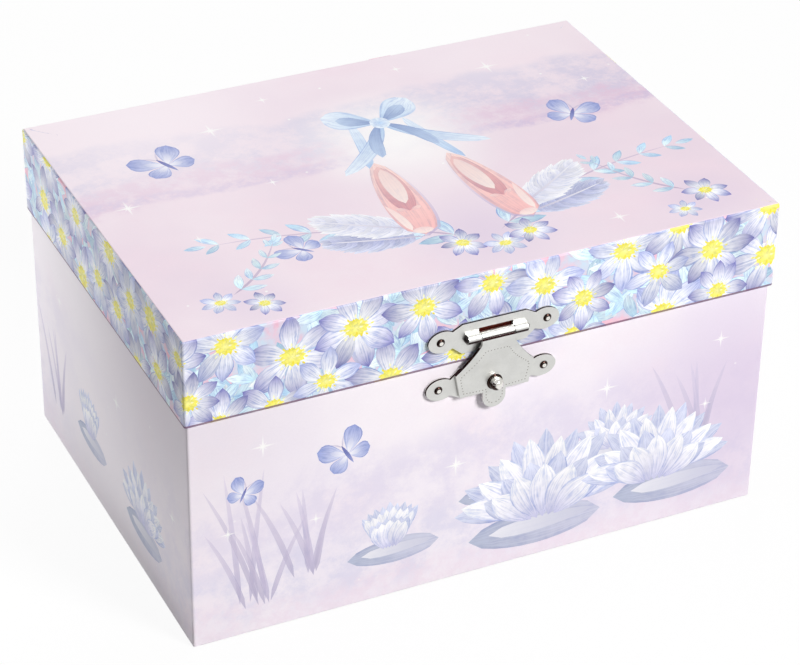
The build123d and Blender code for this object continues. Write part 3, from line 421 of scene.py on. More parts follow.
@dataclass(frozen=True)
class Satin(Finish):
    """Woven satin: fine warp threads that draw the light out to one side."""

    colour: Colour
    across: Point3 = (0.0, 1.0, 0.0)
    threads: float = 5.0

    def draw(self, g: Graph) -> None:
        """Builds the finish's nodes.

        Args:
            g: The new material's graph.
        """
        along = g.vector("DOT_PRODUCT", g.place(), self.across)
        thread = g.maths("SINE", g.times(along, 2 * math.pi * self.threads))
        slub = g.noise(0.6, 4.0, g.vector("MULTIPLY", g.place(), (1.0, 3.0, 0.3)))
        shade = g.uneven(slub, 0.3, 0.7, self.colour, 0.86)
        g.shade(Base_Color=shade, Roughness=0.38, Anisotropic=0.5, Sheen_Weight=0.25)
        g.bump(thread, 0.012, 0.5)


@dataclass(frozen=True)
class Plastic(Finish):
    """Moulded plastic with a faint flow in its gloss."""

    colour: Colour
    rough: float = 0.35
    painted: bool = False

    def draw(self, g: Graph) -> None:
        """Builds the finish's nodes.

        Args:
            g: The new material's graph.
        """
        flow = g.noise(0.5, 3.0)
        colour = g.read("paint").outputs["Color"] if self.painted else self.colour
        shade = g.mix(g.fade(flow, 0.3, 0.7, 0.0, 0.12), colour, WHITE)
        g.shade(Base_Color=shade, Roughness=g.fade(flow, 0.3, 0.7, self.rough, self.rough + 0.1))
        g.bump(g.noise(2.5, 3.0), 0.01, 0.4)


@dataclass(frozen=True)
class Glass(Finish):
    """Silvered mirror glass with a faint haze."""

    def draw(self, g: Graph) -> None:
        """Builds the finish's nodes."""
        haze = g.fade(g.noise(0.05, 4.0), 0.5, 0.8, 0.02, 0.06)
        g.shade(Metallic=1.0, Base_Color=(0.88, 0.9, 0.91), Roughness=haze)


@dataclass(frozen=True)
class Net(Finish):
    """Stiff tulle: an open mesh of fine threads with a scatter of glitter."""

    colour: Colour

    def draw(self, g: Graph) -> None:
        """Builds the finish's nodes.

        Args:
            g: The new material's graph.
        """
        holes = g.cells(3.2, "DISTANCE_TO_EDGE", 0.4).outputs["Distance"]
        thread = g.fade(holes, 0.06, 0.2, 1.0, 0.35)
        glitter = g.fade(g.cells(1.4).outputs["Distance"], 0.0, 0.16, 1.0, 0.0)
        shade = g.mix(glitter, self.colour, WHITE)
        g.shade(Base_Color=shade, Roughness=0.6, Alpha=thread, Transmission_Weight=0.0)
        g.bump(holes, 0.03, 0.5)


@dataclass(frozen=True)
class Hill:
    """One soft line of hills in a wash: all lengths in millimetres."""

    level: float
    swing: float
    scale: float
    colour: Colour
    soft: float
    depth: float
    strength: float = 1.0
    seed: float = 0.0


@dataclass(frozen=True)
class Halo:
    """A round glow in a wash."""

    centre: Point3
    radius: float
    colour: Colour
    strength: float = 1.0


@dataclass(frozen=True)
class Printed(Finish):
    """Printed paper: a watercolour wash under inked shapes that the mesh carries."""

    base: Colour
    second: Colour
    third: Colour
    up: int = 2
    wash_scale: float = 0.02
    hills: tuple[Hill, ...] = ()
    halos: tuple[Halo, ...] = ()
    specks: float = 0.0
    line: Point3 = (1.2, 1.0, 0.4)

    def wash(self, g: Graph) -> Socket:
        """Builds the background wash.

        Args:
            g: The graph that it is part of.

        Returns:
            The wash's colour.
        """
        wet = g.noise(self.wash_scale, 4.0, None, 0.55)
        dry = g.noise(self.wash_scale * 3.1, 6.0, g.vector("ADD", g.place(), (40.0, 11.0, 7.0)), 0.6)
        colour = g.mix(g.fade(wet, 0.38, 0.62), self.base, self.second)
        colour = g.mix(g.fade(dry, 0.48, 0.74, 0.0, 0.75), colour, self.third)
        height = g.parts(g.place())[self.up]
        flat = tuple(0.0 if axis == self.up else 1.0 for axis in range(3))
        for hill in self.hills:
            along = g.vector("ADD", g.vector("MULTIPLY", g.place(), flat), (hill.seed, hill.seed, hill.seed))
            ridge = g.noise(hill.scale, 5.0, along, 0.55)
            crest = g.maths("MULTIPLY_ADD", ridge, 2 * hill.swing, hill.level - hill.swing)
            under = g.maths("SUBTRACT", crest, height)
            top = g.fade(under, -hill.soft, hill.soft)
            foot = g.fade(under, hill.depth * 0.6, hill.depth, 1.0, 0.0)
            rough = g.noise(hill.scale * 6, 8.0, g.vector("ADD", g.place(), (hill.seed, 3.0, 5.0)), 0.72)
            blot = g.fade(rough, 0.38, 0.62, 0.15, 1.0)
            colour = g.mix(g.times(top, foot, blot, hill.strength), colour, hill.colour)
        for halo in self.halos:
            away = g.vector("DISTANCE", g.place(), halo.centre)
            colour = g.mix(g.fade(away, halo.radius, 0.0, 0.0, halo.strength), colour, halo.colour)
        if self.specks:
            spots = g.cells(0.16)
            chosen = g.fade(g.parts(spots.outputs["Color"])[0], 0.55, 0.8)
            spot = g.fade(spots.outputs["Distance"], 0.03, 0.075, 1.0, 0.0)
            colour = g.mix(g.times(spot, chosen, self.specks), colour, WHITE)
        return colour

    def draw(self, g: Graph) -> None:
        """Builds the finish's nodes.

        Args:
            g: The new material's graph.
        """
        ink = g.read("ink")
        run, side, tone = g.parts(g.read("grain").outputs["Vector"])
        streaked = g.read("streak").outputs["Fac"]
        where = g.vector("MULTIPLY", g.join(side, run, tone), (7.0, 1.6, 53.0))
        veins = g.fade(g.noise(1.0, 3.0, where, 0.7), 0.34, 0.66, -1.0, 1.0)
        rim = g.fade(g.maths("ABSOLUTE", side), 0.78, 1.0, 0.0, 1.1)
        mottle = g.fade(g.noise(0.5, 4.0), 0.3, 0.7, -0.45, 0.45)
        drawn = g.times(g.maths("ADD", g.maths("SUBTRACT", veins, rim), mottle), streaked, 0.26)
        dark = g.maths("MINIMUM", drawn, 0.0)
        light = g.maths("MULTIPLY_ADD", g.maths("MAXIMUM", drawn, 0.0), 0.45, 1.0)
        tint = g.vector("MULTIPLY_ADD", g.join(dark, dark, dark), self.line, g.join(light, light, light))
        inked = g.vector("MULTIPLY", ink.outputs["Color"], tint)
        colour = g.mix(ink.outputs["Alpha"], self.wash(g), inked)
        grain = g.noise(2.2, 4.0, None, 0.6)
        colour = g.mix(g.fade(grain, 0.3, 0.7, 0.05, 0.0), colour, (0.55, 0.5, 0.6))
        g.shade(Base_Color=colour, Roughness=g.fade(grain, 0.3, 0.7, 0.42, 0.55), Specular_IOR_Level=0.35)
        g.bump(grain, 0.006, 0.6)


# ---- Printing -------------------------------------------------------------------------------------
@dataclass(frozen=True)
class Brush:
    """The colours of one kind of inked shape, from its root to its tip."""

    root: Colour
    tip: Colour
    streak: float = 0.5
    root_alpha: float = 1.0
    tip_alpha: float = 1.0
    turn: float = 1.0


class Ink(Enum):
    """Every kind of inked shape in the prints."""

    PETAL = Brush(linear(250, 252, 255), linear(104, 104, 180), 1.1, turn=1.85)
    PALE_PETAL = Brush(linear(252, 254, 255), linear(164, 174, 222), 1.1, turn=1.6)
    BUD = Brush(linear(150, 160, 212), linear(96, 100, 170), 1.0)
    STAMEN = Brush(linear(253, 248, 160), linear(250, 240, 80), 0.6, turn=0.6)
    POLLEN = Brush(linear(255, 254, 222), linear(254, 251, 170), 0.2)
    AMBER = Brush(linear(250, 238, 60), linear(246, 226, 44), 0.2)
    ICE_LEAF = Brush(linear(192, 227, 243), linear(240, 249, 252), 1.1)
    BLUE_LEAF = Brush(linear(226, 241, 248), linear(172, 212, 237), 1.1)
    FEATHER = Brush(linear(214, 216, 236), linear(252, 252, 255), 0.6, turn=0.7)
    FEATHER_SHADE = Brush(linear(178, 182, 216), linear(226, 230, 246), 0.8)
    QUILL = Brush(linear(190, 186, 214), linear(246, 246, 252), 0.2)
    LILY = Brush(linear(196, 196, 228), linear(254, 254, 255), 0.8, turn=0.8)
    LILY_SHADE = Brush(linear(160, 166, 208), linear(222, 226, 244), 0.8)
    PAD = Brush(linear(172, 182, 206), linear(196, 200, 222), 0.7, 0.9, 0.75)
    REED = Brush(linear(186, 178, 206), linear(214, 204, 226), 0.4, 0.8, 0.5)
    RIPPLE = Brush(linear(252, 250, 254), linear(250, 248, 254), 0.1, 0.75, 0.0)
    SHADOW = Brush(linear(186, 170, 208), linear(206, 192, 222), 0.1, 0.7, 0.0)
    SATIN_SHOE = Brush(linear(246, 190, 190), linear(252, 222, 216), 0.5)
    SHOE_INSIDE = Brush(linear(222, 160, 168), linear(240, 200, 198), 0.4)
    SHOE_LIGHT = Brush(linear(255, 240, 234), linear(255, 246, 242), 0.2, 0.95, 0.4)
    RIBBON = Brush(linear(176, 204, 236), linear(232, 242, 252), 0.6)
    RIBBON_FOLD = Brush(linear(136, 160, 206), linear(190, 210, 238), 0.6)
    STAR = Brush(WHITE, WHITE, 0.0, 1.0, 0.0)
    STEM = Brush(linear(186, 168, 196), linear(206, 190, 214), 0.4, 0.9, 0.7)
    WING = Brush(linear(236, 238, 252), linear(142, 156, 212), 0.8)
    EDGE_LINE = Brush(linear(118, 78, 110), linear(122, 82, 108), 0.2, 0.85, 0.85)


@dataclass(frozen=True)
class Stroke:
    """A leaf-shaped dab: it runs from a point in a heading, swells at its belly and may bend aside."""

    at: Point
    heading: float
    length: float
    width: float
    ink: Ink
    bend: float = 0.0
    belly: float = 0.5
    full: float = 0.8
    tone: float = 0.5
    steps: int = 6

    def half(self, run: float) -> float:
        """Half the width at a share of the length.

        Args:
            run: The share of the length.

        Returns:
            Half the width.
        """
        if not 0 < run < 1:
            return 0.0
        power = math.log(0.5) / math.log(self.belly)
        return self.width / 2 * math.sin(math.pi * run**power) ** self.full

    def point(self, run: float, side: float) -> Point:
        """The sheet's point at a share of the length and of the half width.

        Args:
            run: The share of the length.
            side: The share of the half width, left of the heading.

        Returns:
            The point.
        """
        c, s = math.cos(self.heading), math.sin(self.heading)
        ahead = self.length * run
        aside = side * self.half(run) + self.bend * self.length * run * run
        return (self.at[0] + c * ahead - s * aside, self.at[1] + s * ahead + c * aside)

    def outline(self) -> list[Point]:
        """The outline's corners, anticlockwise.

        Returns:
            The corners from the root.
        """
        runs = [i / self.steps for i in range(1, self.steps)]
        right = [self.point(run, -1) for run in runs]
        left = [self.point(run, 1) for run in reversed(runs)]
        return [self.point(0, 0), *right, self.point(1, 0), *left]

    def spine(self) -> list[Point]:
        """The points along the middle."""
        return [self.point(i / self.steps, 0) for i in range(1, self.steps)]

    def grain(self, x: float, y: float) -> Point3:
        """Where a sheet's point is in the dab: along, aside and the dab's own tone.

        Args:
            x: The point's x.
            y: Its y.

        Returns:
            The three numbers.
        """
        c, s = math.cos(self.heading), math.sin(self.heading)
        dx, dy = x - self.at[0], y - self.at[1]
        run = min(max((c * dx + s * dy) / self.length, 0.0), 1.0)
        half = max(self.half(run), 0.04 * self.width)
        aside = (c * dy - s * dx - self.bend * self.length * run * run) / half
        return (run, min(max(aside, -1.0), 1.0), self.tone)


@dataclass(frozen=True)
class Blot:
    """A round dab whose edge may have lobes or rays."""

    at: Point
    radius: float
    ink: Ink
    lobes: int = 0
    depth: float = 0.0
    squash: float = 1.0
    tone: float = 0.5
    corners: int = 14

    def outline(self) -> list[Point]:
        """The outline's corners, anticlockwise.

        Returns:
            The corners.
        """
        count = max(self.corners, 2 * self.lobes)
        points = []
        for i in range(count):
            turn = 2 * math.pi * i / count
            reach = self.radius * (1 - self.depth * (i % 2 if self.lobes else 0))
            points.append((self.at[0] + reach * math.cos(turn), self.at[1] + reach * self.squash * math.sin(turn)))
        return points

    def spine(self) -> list[Point]:
        """The middle point."""
        return [self.at]

    def grain(self, x: float, y: float) -> Point3:
        """Where a sheet's point is in the dab: how far out, which way round, and its own tone."""
        dx, dy = x - self.at[0], (y - self.at[1]) / self.squash
        return (min(math.hypot(dx, dy) / self.radius, 1.0), math.atan2(dy, dx) / math.pi * 0.7, self.tone)


Dab = Stroke | Blot


def inked(dab: Dab, x: float, y: float) -> tuple[float, ...]:
    """A dab's colour and cover at a point of the sheet.

    Args:
        dab: The dab.
        x: The point's x.
        y: Its y.

    Returns:
        Red, green, blue and cover.
    """
    brush = dab.ink.value
    share = dab.grain(x, y)[0] ** brush.turn
    colour = blend_colour(brush.root, brush.tip, share)
    lift = 1 + 0.28 * (dab.tone - 0.5) * brush.streak
    cover = brush.root_alpha + (brush.tip_alpha - brush.root_alpha) * share
    return (*(min(c * lift, 1.0) for c in colour), cover)


@dataclass
class Motif:
    """A group of dabs in the order that they are painted, which can be set down at any place and turn."""

    dabs: list[Dab] = field(default_factory=list)

    def put(self, at: Point, turn_deg: float = 0.0, size: float = 1.0, flip: bool = False) -> list[Dab]:
        """Sets the group down.

        Args:
            at: Where the group's origin goes.
            turn_deg: How far it is turned.
            size: Its scale.
            flip: Whether it is mirrored left to right first.

        Returns:
            The moved dabs.
        """
        turn = math.radians(turn_deg)
        c, s = math.cos(turn) * size, math.sin(turn) * size
        moved = []
        for dab in self.dabs:
            x, y = (-dab.at[0] if flip else dab.at[0]), dab.at[1]
            here = (at[0] + c * x - s * y, at[1] + s * x + c * y)
            if isinstance(dab, Blot):
                moved.append(replace(dab, at=here, radius=dab.radius * size))
                continue
            heading, bend = (math.pi - dab.heading, -dab.bend) if flip else (dab.heading, dab.bend)
            sizes = {"length": dab.length * size, "width": dab.width * size}
            moved.append(replace(dab, at=here, heading=heading + turn, bend=bend, **sizes))
        return moved


class Printer:
    """Cuts a flat sheet along every inked outline, and colours each cut face with what lies on top."""

    def __init__(self, low: Point, high: Point, folds_x: Iterable[float] = (), folds_y: Iterable[float] = ()) -> None:
        """Starts a blank sheet.

        Args:
            low: The sheet's lower left corner.
            high: Its upper right corner.
            folds_x: Places along it where it will be folded, and needs an edge.
            folds_y: The same up the sheet.
        """
        self.low, self.high = low, high
        self.folds_x = [x for x in folds_x if low[0] < x < high[0]]
        self.folds_y = [y for y in folds_y if low[1] < y < high[1]]

    def cut(self, dabs: Sequence[Dab], holes: Sequence[Dab]) -> tuple[list[Vector], list[list[int]], list[list[int]]]:
        """Triangulates the sheet under all of its outlines.

        Args:
            dabs: The shapes in painting order.
            holes: Shapes that are cut out.

        Returns:
            The points, the triangles, and for each triangle the shapes that cover it.
        """
        (x0, y0), (x1, y1) = self.low, self.high
        points = [Vector(p) for p in ((x0, y0), (x1, y0), (x1, y1), (x0, y1))]
        edges: list[tuple[int, int]] = []
        faces = [[0, 1, 2, 3]]
        folds = [((x, y0), (x, y1)) for x in self.folds_x] + [((x0, y), (x1, y)) for y in self.folds_y]
        for start, end in folds:
            edges.append((len(points), len(points) + 1))
            points += [Vector(start), Vector(end)]
        for dab in [*dabs, *holes]:
            start = len(points)
            points += [Vector(p) for p in dab.outline()]
            faces.append(list(range(start, len(points))))
            points += [Vector(p) for p in dab.spine()]
        found = delaunay_2d_cdt(points, edges, faces, 1, 1e-5, True)
        inside = [(f, o) for f, o in zip(found[2], found[5]) if 0 in o and max(o) <= len(dabs)]
        used = {old: new for new, old in enumerate(sorted({corner for f, _ in inside for corner in f}))}
        faces = [[used[corner] for corner in f] for f, _ in inside]
        return [found[0][old] for old in used], faces, [sorted(i - 1 for i in o if i) for _, o in inside]

    def print(
        self, dabs: Sequence[Dab], holes: Sequence[Dab], shape: Callable[[float, float], Point3], name: str
    ) -> Mesh:
        """Prints the shapes and folds the sheet.

        Args:
            dabs: The shapes in painting order.
            holes: Shapes that are cut out.
            shape: Turns a point of the flat sheet into a place in millimetres.
            name: The mesh's name.

        Returns:
            The folded mesh with its inks as face corner values.
        """
        points, faces, covers = self.cut(dabs, holes)
        mesh = bpy.data.meshes.new(name)
        mesh.from_pydata([Vector(shape(p.x, p.y)) * MM for p in points], [], faces)
        inks, grains, streaks = [], [], []
        for face, cover in zip(faces, covers):
            for corner in face:
                x, y = points[corner]
                colour: tuple[float, ...] = (1.0, 1.0, 1.0, 0.0)
                for index in cover:
                    over = inked(dabs[index], x, y)
                    alpha = over[3] + colour[3] * (1 - over[3])
                    share = over[3] / alpha if alpha else 0.0
                    colour = (*blend_colour(colour[:3], over[:3], share), alpha)
                top = dabs[cover[-1]] if cover else None
                inks += colour
                grains += top.grain(x, y) if top else (0.0, 0.0, 0.0)
                streaks.append(top.ink.value.streak if top else 0.0)
        for title, kind, values, key in (
            ("ink", "FLOAT_COLOR", inks, "color"),
            ("grain", "FLOAT_VECTOR", grains, "vector"),
            ("streak", "FLOAT", streaks, "value"),
        ):
            mesh.attributes.new(title, kind, "CORNER").data.foreach_set(key, values)
        return mesh


# ---- Mesh helpers ---------------------------------------------------------------------------------
def rounds(count: int) -> list[float]:
    """Evenly spaced turns round a circle."""
    return [2 * math.pi * i / count for i in range(count)]


def ring(work: Work, middle: Vector, wide: Vector, deep: Vector, count: int) -> list[bmesh.types.BMVert]:
    """A ring of points round a middle, from its half width to its half depth."""
    return [work.verts.new(middle + wide * math.cos(t) + deep * math.sin(t)) for t in rounds(count)]


def bridge(work: Work, rows: Sequence[Sequence[bmesh.types.BMVert]], closed: bool = True) -> None:
    """Lays faces between neighbouring rows of points, which may be rings.

    Args:
        work: The mesh at work.
        rows: The rows, all of one length.
        closed: Whether the rows are rings.
    """
    for a, b in zip(rows, rows[1:]):
        for j in range(len(a) if closed else len(a) - 1):
            k = (j + 1) % len(a)
            work.faces.new((a[j], a[k], b[k], b[j]))


def finished(work: Work, name: str, outward: bool = True) -> Mesh:
    """Turns a mesh's faces outward if asked, and keeps it under a name.

    Args:
        work: The mesh at work, which is freed.
        name: The new mesh's name.
        outward: Whether its faces are turned.

    Returns:
        The new mesh.
    """
    if outward:
        bmesh.ops.recalc_face_normals(work, faces=work.faces)
    mesh = bpy.data.meshes.new(name)
    work.to_mesh(mesh)
    work.free()
    return mesh


def stand(name: str, data: bpy.types.ID) -> Object:
    """Puts a new object in the scene.

    Args:
        name: The object's name.
        data: Its mesh, camera or light.

    Returns:
        The object.
    """
    obj = bpy.data.objects.new(name, data)
    bpy.context.scene.collection.objects.link(obj)
    return obj


def quad(name: str, corners: Sequence[Point3]) -> Object:
    """Stands a piece of a single face, whose corners are in metres.

    Args:
        name: The piece's name.
        corners: Its four corners.

    Returns:
        The piece.
    """
    mesh = bpy.data.meshes.new(name)
    mesh.from_pydata(corners, [], [(0, 1, 2, 3)])
    return stand(name, mesh)


def shade_smooth(mesh: Mesh) -> None:
    """Shades every face of a mesh smooth."""
    mesh.polygons.foreach_set("use_smooth", [True] * len(mesh.polygons))


def points_of(mesh: Mesh) -> np.ndarray:
    """A mesh's points, one to a row.

    Args:
        mesh: The mesh.

    Returns:
        Its points, in its own units.
    """
    points = np.empty(len(mesh.vertices) * 3, dtype=np.float32)
    mesh.vertices.foreach_get("co", points)
    return points.reshape(-1, 3)


def move_points(mesh: Mesh, points: np.ndarray) -> None:
    """Moves a mesh's points, given in millimetres, and shades it smooth.

    Args:
        mesh: The mesh.
        points: Its new points, one to a row.
    """
    mesh.vertices.foreach_set("co", (points * MM).astype(np.float32).ravel())
    shade_smooth(mesh)
    mesh.update()


def darken(mesh: Mesh, dark: Sequence[float]) -> None:
    """Marks how much painted shade and dark reflection each face of a metal piece takes, from 0 to 1."""
    mesh.attributes.new("painted_shade", "FLOAT", "FACE").data.foreach_set("value", dark)


def settle(obj: Object) -> Object:
    """Applies an object's modifiers to its mesh.

    Args:
        obj: The object.

    Returns:
        The same object.
    """
    bpy.context.view_layer.update()
    done = bpy.data.meshes.new_from_object(obj.evaluated_get(bpy.context.evaluated_depsgraph_get()))
    obj.modifiers.clear()
    obj.data = done
    return obj


def place(mesh: Mesh, finish: Finish, body: str, *stands_for: str, name: str = "") -> Object:
    """Puts a mesh in the scene as a finished piece.

    Args:
        mesh: The piece's mesh, in metres.
        finish: What it is made of.
        body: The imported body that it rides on.
        stands_for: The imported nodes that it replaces.
        name: The piece's name, if it isn't the mesh's.

    Returns:
        The piece.
    """
    obj = stand(name or mesh.name, mesh)
    mesh.materials.clear()
    mesh.materials.append(finish.material())
    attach(obj, body)
    if stands_for:
        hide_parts(*stands_for)
    LOG.info("%s rides on %s with %d faces", obj.name, body, len(mesh.polygons))
    return obj


def dress(nodes: str, finish: Finish) -> None:
    """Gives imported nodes, named with spaces between them, a finish.

    Args:
        nodes: The nodes' names.
        finish: Their finish.
    """
    for node in nodes.split():
        materials = frame["nodes"][node].data.materials
        materials.clear()
        materials.append(finish.material())
        LOG.info("%s keeps its shape, in %s", node, finish.name)


@dataclass(frozen=True)
class PlateShade:
    """Where a pressed plate takes painted shade and dark reflection.

    That is its cut edge, from front to back and below top, and its barrel's underside and crease.
    """

    front: float
    back: float
    top: float = 200.0
    left: float = 0.0
    under: float = -200.0
    crease: Point = (0.0, 0.0)
    deep: float = 0.25

    def darkness(self, normal: Vector, centre: Vector) -> float:
        """How much painted shade a face takes, from 0 to 1.

        Args:
            normal: Which way the face looks.
            centre: Its middle, in millimetres.

        Returns:
            The darkness.
        """
        low, high = self.crease
        # Painted shade in the crease and under the knuckles.
        if low < centre.z < high and centre.y < self.under:
            return 1.0
        if centre.y < self.under and high == 0:
            return smooth((0.05 - normal.z) / 0.12)
        if not self.front < centre.y < self.back or centre.z > self.top or abs(normal.y) > 0.8:
            return 0.0
        # Painted dark reflection on cut edges that face up and to the left.
        return smooth((normal.z - self.left * normal.x) / 0.4)


def softened(node: str, finish: Finish, radius: float, steps: int = 3, plate_shade: PlateShade | None = None) -> Object:
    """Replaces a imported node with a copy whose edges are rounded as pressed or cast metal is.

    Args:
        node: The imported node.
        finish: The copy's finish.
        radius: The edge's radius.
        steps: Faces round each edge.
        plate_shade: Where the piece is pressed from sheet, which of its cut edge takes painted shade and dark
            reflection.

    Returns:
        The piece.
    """
    source = frame["nodes"][node]
    mesh = source.data.copy()
    mesh.name = f"{node}_soft"
    work = bmesh.new()
    work.from_mesh(mesh)
    bmesh.ops.remove_doubles(work, verts=work.verts, dist=2e-6)
    flat = math.radians(1)
    bmesh.ops.dissolve_limit(work, angle_limit=flat, verts=work.verts, edges=work.edges, delimit={"NORMAL"})
    if plate_shade:
        low, high = plate_shade.crease
        middle = (low + high) / 2
        cuts = [((0, plate_shade.back * MM, 0), (0, 1, 0))]
        cuts += [((0, 0, level * MM), (0, 0, 1)) for level in (low, middle, high) if high]
        for at, normal in cuts:
            everything = [*work.verts, *work.edges, *work.faces]
            bmesh.ops.bisect_plane(work, geom=everything, plane_co=at, plane_no=normal)
        for vert in work.verts:
            if abs(vert.co.z / MM - middle) < 0.01 and vert.co.y / MM < plate_shade.under:
                vert.co.y += plate_shade.deep * MM
    work.to_mesh(mesh)
    work.free()
    shade_smooth(mesh)
    obj = place(mesh, finish, source["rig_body"], node)
    bevel = obj.modifiers.new("edge", "BEVEL")
    bevel.width, bevel.segments, bevel.harden_normals = radius * MM, steps, True
    bevel.limit_method, bevel.angle_limit = "ANGLE", math.radians(SHARP_DEG)
    obj.modifiers.new("even", "WEIGHTED_NORMAL").keep_sharp = True
    settle(obj)
    # Painted shade and dark reflection on the faces that the plate shade picks.
    if plate_shade:
        darken(obj.data, [plate_shade.darkness(face.normal, face.center / MM) for face in obj.data.polygons])
    return obj


def lathe(name: str, profile: Sequence[Point], around: int, at: Point3, wide: Point3) -> Mesh:
    """Turns a profile about a level axis.

    Args:
        name: The mesh's name.
        profile: Radius and distance along the axis of each ring, in millimetres, from the far end back.
        around: Faces round it.
        at: The axis's zero point.
        wide: The level direction across the axis.

    Returns:
        The mesh, in metres.
    """
    work = bmesh.new()
    across, up = Vector(wide) * MM, Vector((0, 0, 1)) * MM
    axis = Vector(wide).cross((0, 0, 1)) * MM
    rings = [ring(work, Vector(at) * MM + axis * h, across * r, up * r, around) for r, h in profile]
    bridge(work, rings[::-1])
    work.faces.new(rings[0])
    work.faces.new(rings[-1][::-1])
    bmesh.ops.remove_doubles(work, verts=work.verts, dist=1e-7)
    mesh = finished(work, name)
    shade_smooth(mesh)
    return mesh


def thicken(obj: Object, thick: float) -> Object:
    """Gives an open sheet a thickness behind its face.

    Args:
        obj: The sheet.
        thick: Its thickness.

    Returns:
        The same object.
    """
    solid = obj.modifiers.new("thick", "SOLIDIFY")
    solid.thickness = thick * MM
    solid.offset = -1.0
    return settle(obj)


# ---- Motifs ---------------------------------------------------------------------------------------
class MotifBook:
    """The motifs of the prints, each drawn about its own origin with +Y up."""

    def __init__(self, seed: int) -> None:
        """Starts the book.

        Args:
            seed: What the small differences between like dabs are drawn from.
        """
        self.luck = random.Random(seed)

    def flower(self, reach: float, petals: int, pale: bool) -> list[Dab]:
        """An open flower seen from above: long pointed petals round a heart of stamens.

        Args:
            reach: The petals' length.
            petals: How many there are.
            pale: Whether they are pale.

        Returns:
            The dabs, petals first.
        """
        ink = Ink.PALE_PETAL if pale else Ink.PETAL
        first = self.luck.uniform(0, 2 * math.pi)
        dabs: list[Dab] = []
        for number in [*range(0, petals, 2), *range(1, petals, 2)]:
            turn = first + 2 * math.pi * number / petals + self.luck.uniform(-0.12, 0.12)
            length = reach * self.luck.uniform(0.88, 1.06)
            wide = length * self.luck.uniform(0.4, 0.53)
            bend = self.luck.uniform(-0.12, 0.12)
            dabs.append(Stroke((0, 0), turn, length, wide, ink, bend, 0.6, 0.86, self.luck.random(), 8))
        heart = reach * 0.285
        squash = self.luck.uniform(0.72, 1.0)
        dabs.append(Blot((0, 0), heart, Ink.STAMEN, 12, 0.2, squash, 0.6))
        for number in range(22):
            turn = number * 2.4
            away = heart * math.sqrt((number + 1) / 20)
            at = (away * math.cos(turn), squash * away * math.sin(turn))
            ink = (Ink.POLLEN, Ink.STAMEN, Ink.AMBER, Ink.POLLEN)[number % 4]
            dabs.append(Stroke(at, turn, heart * 0.34, heart * 0.15, ink, 0, 0.5, 0.6, self.luck.random(), 3))
        return dabs

    def leaves(self, reach: float, count: int) -> list[Dab]:
        """A fan of cool leaves that fills the room behind the flowers.

        Args:
            reach: The leaves' length.
            count: How many there are.

        Returns:
            The dabs.
        """
        dabs: list[Dab] = []
        first = self.luck.uniform(0, 2 * math.pi)
        for number in range(count):
            turn = first + number * 2.4
            ink = Ink.ICE_LEAF if self.luck.random() < 0.6 else Ink.BLUE_LEAF
            at = (self.luck.uniform(-2, 2), self.luck.uniform(-2, 2))
            length = reach * self.luck.uniform(0.7, 1.1)
            bend, tone = self.luck.uniform(-0.2, 0.2), self.luck.random()
            dabs.append(Stroke(at, turn, length, length * 0.42, ink, bend, 0.45, 0.8, tone))
        return dabs

    def band(self, length: float, low: float, high: float) -> list[Dab]:
        """The flowers of the lid's band, scattered along a strip that joins up with itself.

        Args:
            length: The strip's length.
            low: Its lower edge.
            high: Its upper edge.

        Returns:
            The dabs, leaves first.
        """
        spots: list[tuple[float, float, float]] = []
        for _ in range(6000):
            reach = self.luck.uniform(8.6, 12.6)
            x, y = self.luck.uniform(0, length), self.luck.uniform(low, high)
            clear = (
                math.hypot(min(abs(x - a), length - abs(x - a)), 1.1 * (y - b)) > 0.6 * (reach + r)
                for a, b, r in spots
            )
            if all(clear):
                spots.append((x, y, reach))
        dabs: list[Dab] = []
        for number in range(int(length / 2.8)):
            at = (number * 2.8 + self.luck.uniform(-2, 2), self.luck.uniform(low, high))
            dabs += Motif(self.leaves(8.5, 5)).put(at)
        self.luck.shuffle(spots)
        for x, y, reach in sorted(spots, key=lambda spot: spot[2], reverse=True):
            flower = Motif(self.flower(reach, self.luck.choice((6, 7, 7, 8)), self.luck.random() < 0.25))
            for shift in (-length, 0, length):
                if -reach < x + shift < length + reach:
                    dabs += flower.put((x + shift, y))
        # A thin dark line printed along the lid's lower edge.
        dabs.append(Stroke((0, low + 1.4), 0.0, length + 6, 0.9, Ink.EDGE_LINE, full=0.02, steps=90))
        return dabs

    def feather(self, length: float, wide: float, shaded: bool = False) -> Motif:
        """A feather that lies along +Y, with a fringe of barbs each side of its quill.

        Args:
            length: The quill's length.
            wide: The longest barb's length.
            shaded: Whether it is in shade.

        Returns:
            The feather.
        """
        ink = Ink.FEATHER_SHADE if shaded else Ink.FEATHER
        dabs: list[Dab] = []
        count = 17
        for number in range(count):
            run = number / (count - 1)
            base = (0.05 * length * run * run, length * (0.16 + 0.74 * run))
            swell = math.sin(math.pi * (0.12 + 0.8 * run)) ** 0.7
            for side in (-1, 1):
                turn = UP - side * (1.05 - 0.62 * run)
                reach = wide * swell * self.luck.uniform(0.9, 1.1)
                tone = self.luck.random()
                dabs.append(Stroke(base, turn, reach, reach * 0.3 + 0.5, ink, side * 0.16, 0.4, 0.7, tone, 4))
        dabs.append(Stroke((0, 0), UP, length * 0.98, 0.045 * wide + 0.35, Ink.QUILL, -0.05, 0.2, 0.4))
        return Motif(dabs)

